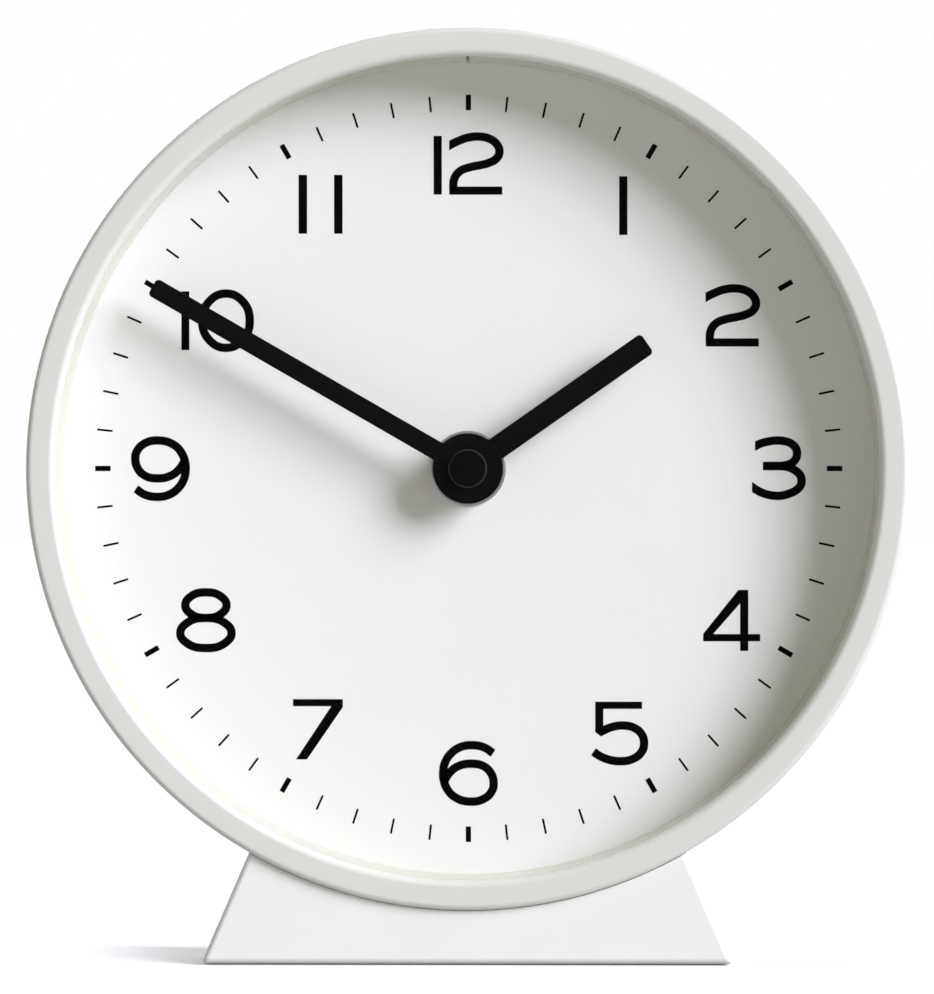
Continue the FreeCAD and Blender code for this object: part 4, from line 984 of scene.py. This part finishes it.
# %% Figures five to nine
def figure_five(work, centre):
    corners = [(-4.91, 6.37), (4.47, 6.37), (4.47, 4.93), (-3.28, 4.93), (-3.28, 0.9), (-3.74, -0.61),
               (-4.91, 0.29)]
    outline_shape(work, corners, centre)
    path = [(-4.05, 0.2), (-1.6, 1.28), (0.63, 1.6), (2.95, 1.1), (4.42, -0.2), (4.87, -1.95), (4.4, -3.65),
            (2.6, -5.1), (0.09, -5.55), (-2.3, -5.2), (-4.0, -4.5), (-5.25, -3.65)]
    round_stroke(work, path, centre)


six_path = [(4.95, 4.08), (3.2, 5.22), (0.85, 5.69), (-1.6, 5.3), (-3.55, 3.95), (-4.7, 2.1), (-5.05, 0.2),
            (-4.95, -1.2), (-4.3, -3.0), (-2.7, -4.72), (0.37, -5.61), (3.2, -5.0), (4.75, -3.4),
            (5.05, -1.74), (4.55, 0.0), (3.1, 1.45), (0.63, 1.98), (-1.7, 1.6), (-3.55, 0.4), (-4.95, -1.7)]


def figure_six(work, centre):
    round_stroke(work, six_path, centre)


def figure_nine(work, centre):
    round_stroke(work, six_path, centre, turn=-1)


def figure_seven(work, centre):
    corners = [(-5.0, 6.04), (5.0, 6.04), (5.0, 4.44), (-2.19, -6.04), (-4.38, -6.04), (2.67, 4.62),
               (-5.0, 4.62)]
    outline_shape(work, corners, centre)


def figure_eight(work, centre):
    round_stroke(work, oval(4.13, 2.56), (centre[0], centre[1] + 3.01), closed=True)
    round_stroke(work, oval(5.14, 3.01), (centre[0], centre[1] - 2.57), closed=True)


print("figures drawn: five to nine")

# %% [markdown]
# The last three are pairs. They are drawn as one piece each, because the photograph sets their two
# figures closer than single ones would stand. The twelve uses the two again.

# %% Figures ten to twelve
def figure_ten(work, centre):
    bar(work, (centre[0] - 6.45, centre[1]), 1.6, 11.76)
    round_stroke(work, oval(4.76, 5.44), (centre[0] + 1.69, centre[1]), closed=True)


def figure_eleven(work, centre):
    for side in (-1, 1):
        bar(work, (centre[0] + side * 3.55, centre[1]), 1.7, 11.78)


def figure_twelve(work, centre):
    bar(work, (centre[0] - 6.19, centre[1] - 0.3), 1.64, 11.74)
    figure_two(work, (centre[0] + 1.53, centre[1]))


print("figures drawn: ten to twelve")

# %% [markdown]
# Each numeral has its place in millimetres from the hub, measured to its own middle. The drawing is
# given the film's thickness and stood up on the dial's front.

# %% Numerals on the dial
numerals = {
    "numeral_1": (figure_one, (31.0, 52.6)),
    "numeral_2": (figure_two, (52.9, 30.6)),
    "numeral_3": (figure_three, (62.05, 0.0)),
    "numeral_4": (figure_four, (52.7, -30.4)),
    "numeral_5": (figure_five, (30.3, -53.05)),
    "numeral_6": (figure_six, (0.0, -61.1)),
    "numeral_7": (figure_seven, (-30.15, -52.25)),
    "numeral_8": (figure_eight, (-52.6, -30.4)),
    "numeral_9": (figure_nine, (-61.7, 0.0)),
    "numeral_10": (figure_ten, (-50.25, 29.6)),
    "numeral_11": (figure_eleven, (-29.6, 52.9)),
    "numeral_12": (figure_twelve, (0.05, 61.0)),
}
dial_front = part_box("dial_plate")[0].y


def printed(work, name):
    """Stand a flat drawing up on the dial as a thin film."""
    thicken(work, Vector((0, 0, ink_film)))
    bmesh.ops.rotate(work, verts=work.verts, cent=(0, 0, 0), matrix=Matrix.Rotation(math.pi / 2, 3, "X"))
    bmesh.ops.translate(work, verts=work.verts, vec=(hub.x, dial_front, hub.z))
    finish_piece(work, name, print_ink, "case", "hand_black")


for name, (draw, centre) in numerals.items():
    drawing = bmesh.new()
    draw(drawing, centre)
    printed(drawing, name)

# %% [markdown]
# Sixty marks run round the edge of the dial. One mark is a short bar at twelve, turned into its
# place; every fifth is two and a half times as wide.

# %% Minute track
track_inner = 71.7
track_outer = 74.8
hour_mark = 1.05
thin_mark = 0.42
track = bmesh.new()
for minute_mark in range(60):
    width = hour_mark if minute_mark % 5 == 0 else thin_mark
    before = set(track.verts)
    bar(track, (0, (track_inner + track_outer) / 2), width, track_outer - track_inner)
    added = [vert for vert in track.verts if vert not in before]
    spoke = Matrix.Rotation(math.radians(-6 * minute_mark), 3, "Z")
    bmesh.ops.rotate(track, verts=added, cent=(0, 0, 0), matrix=spoke)
printed(track, "minute_track")
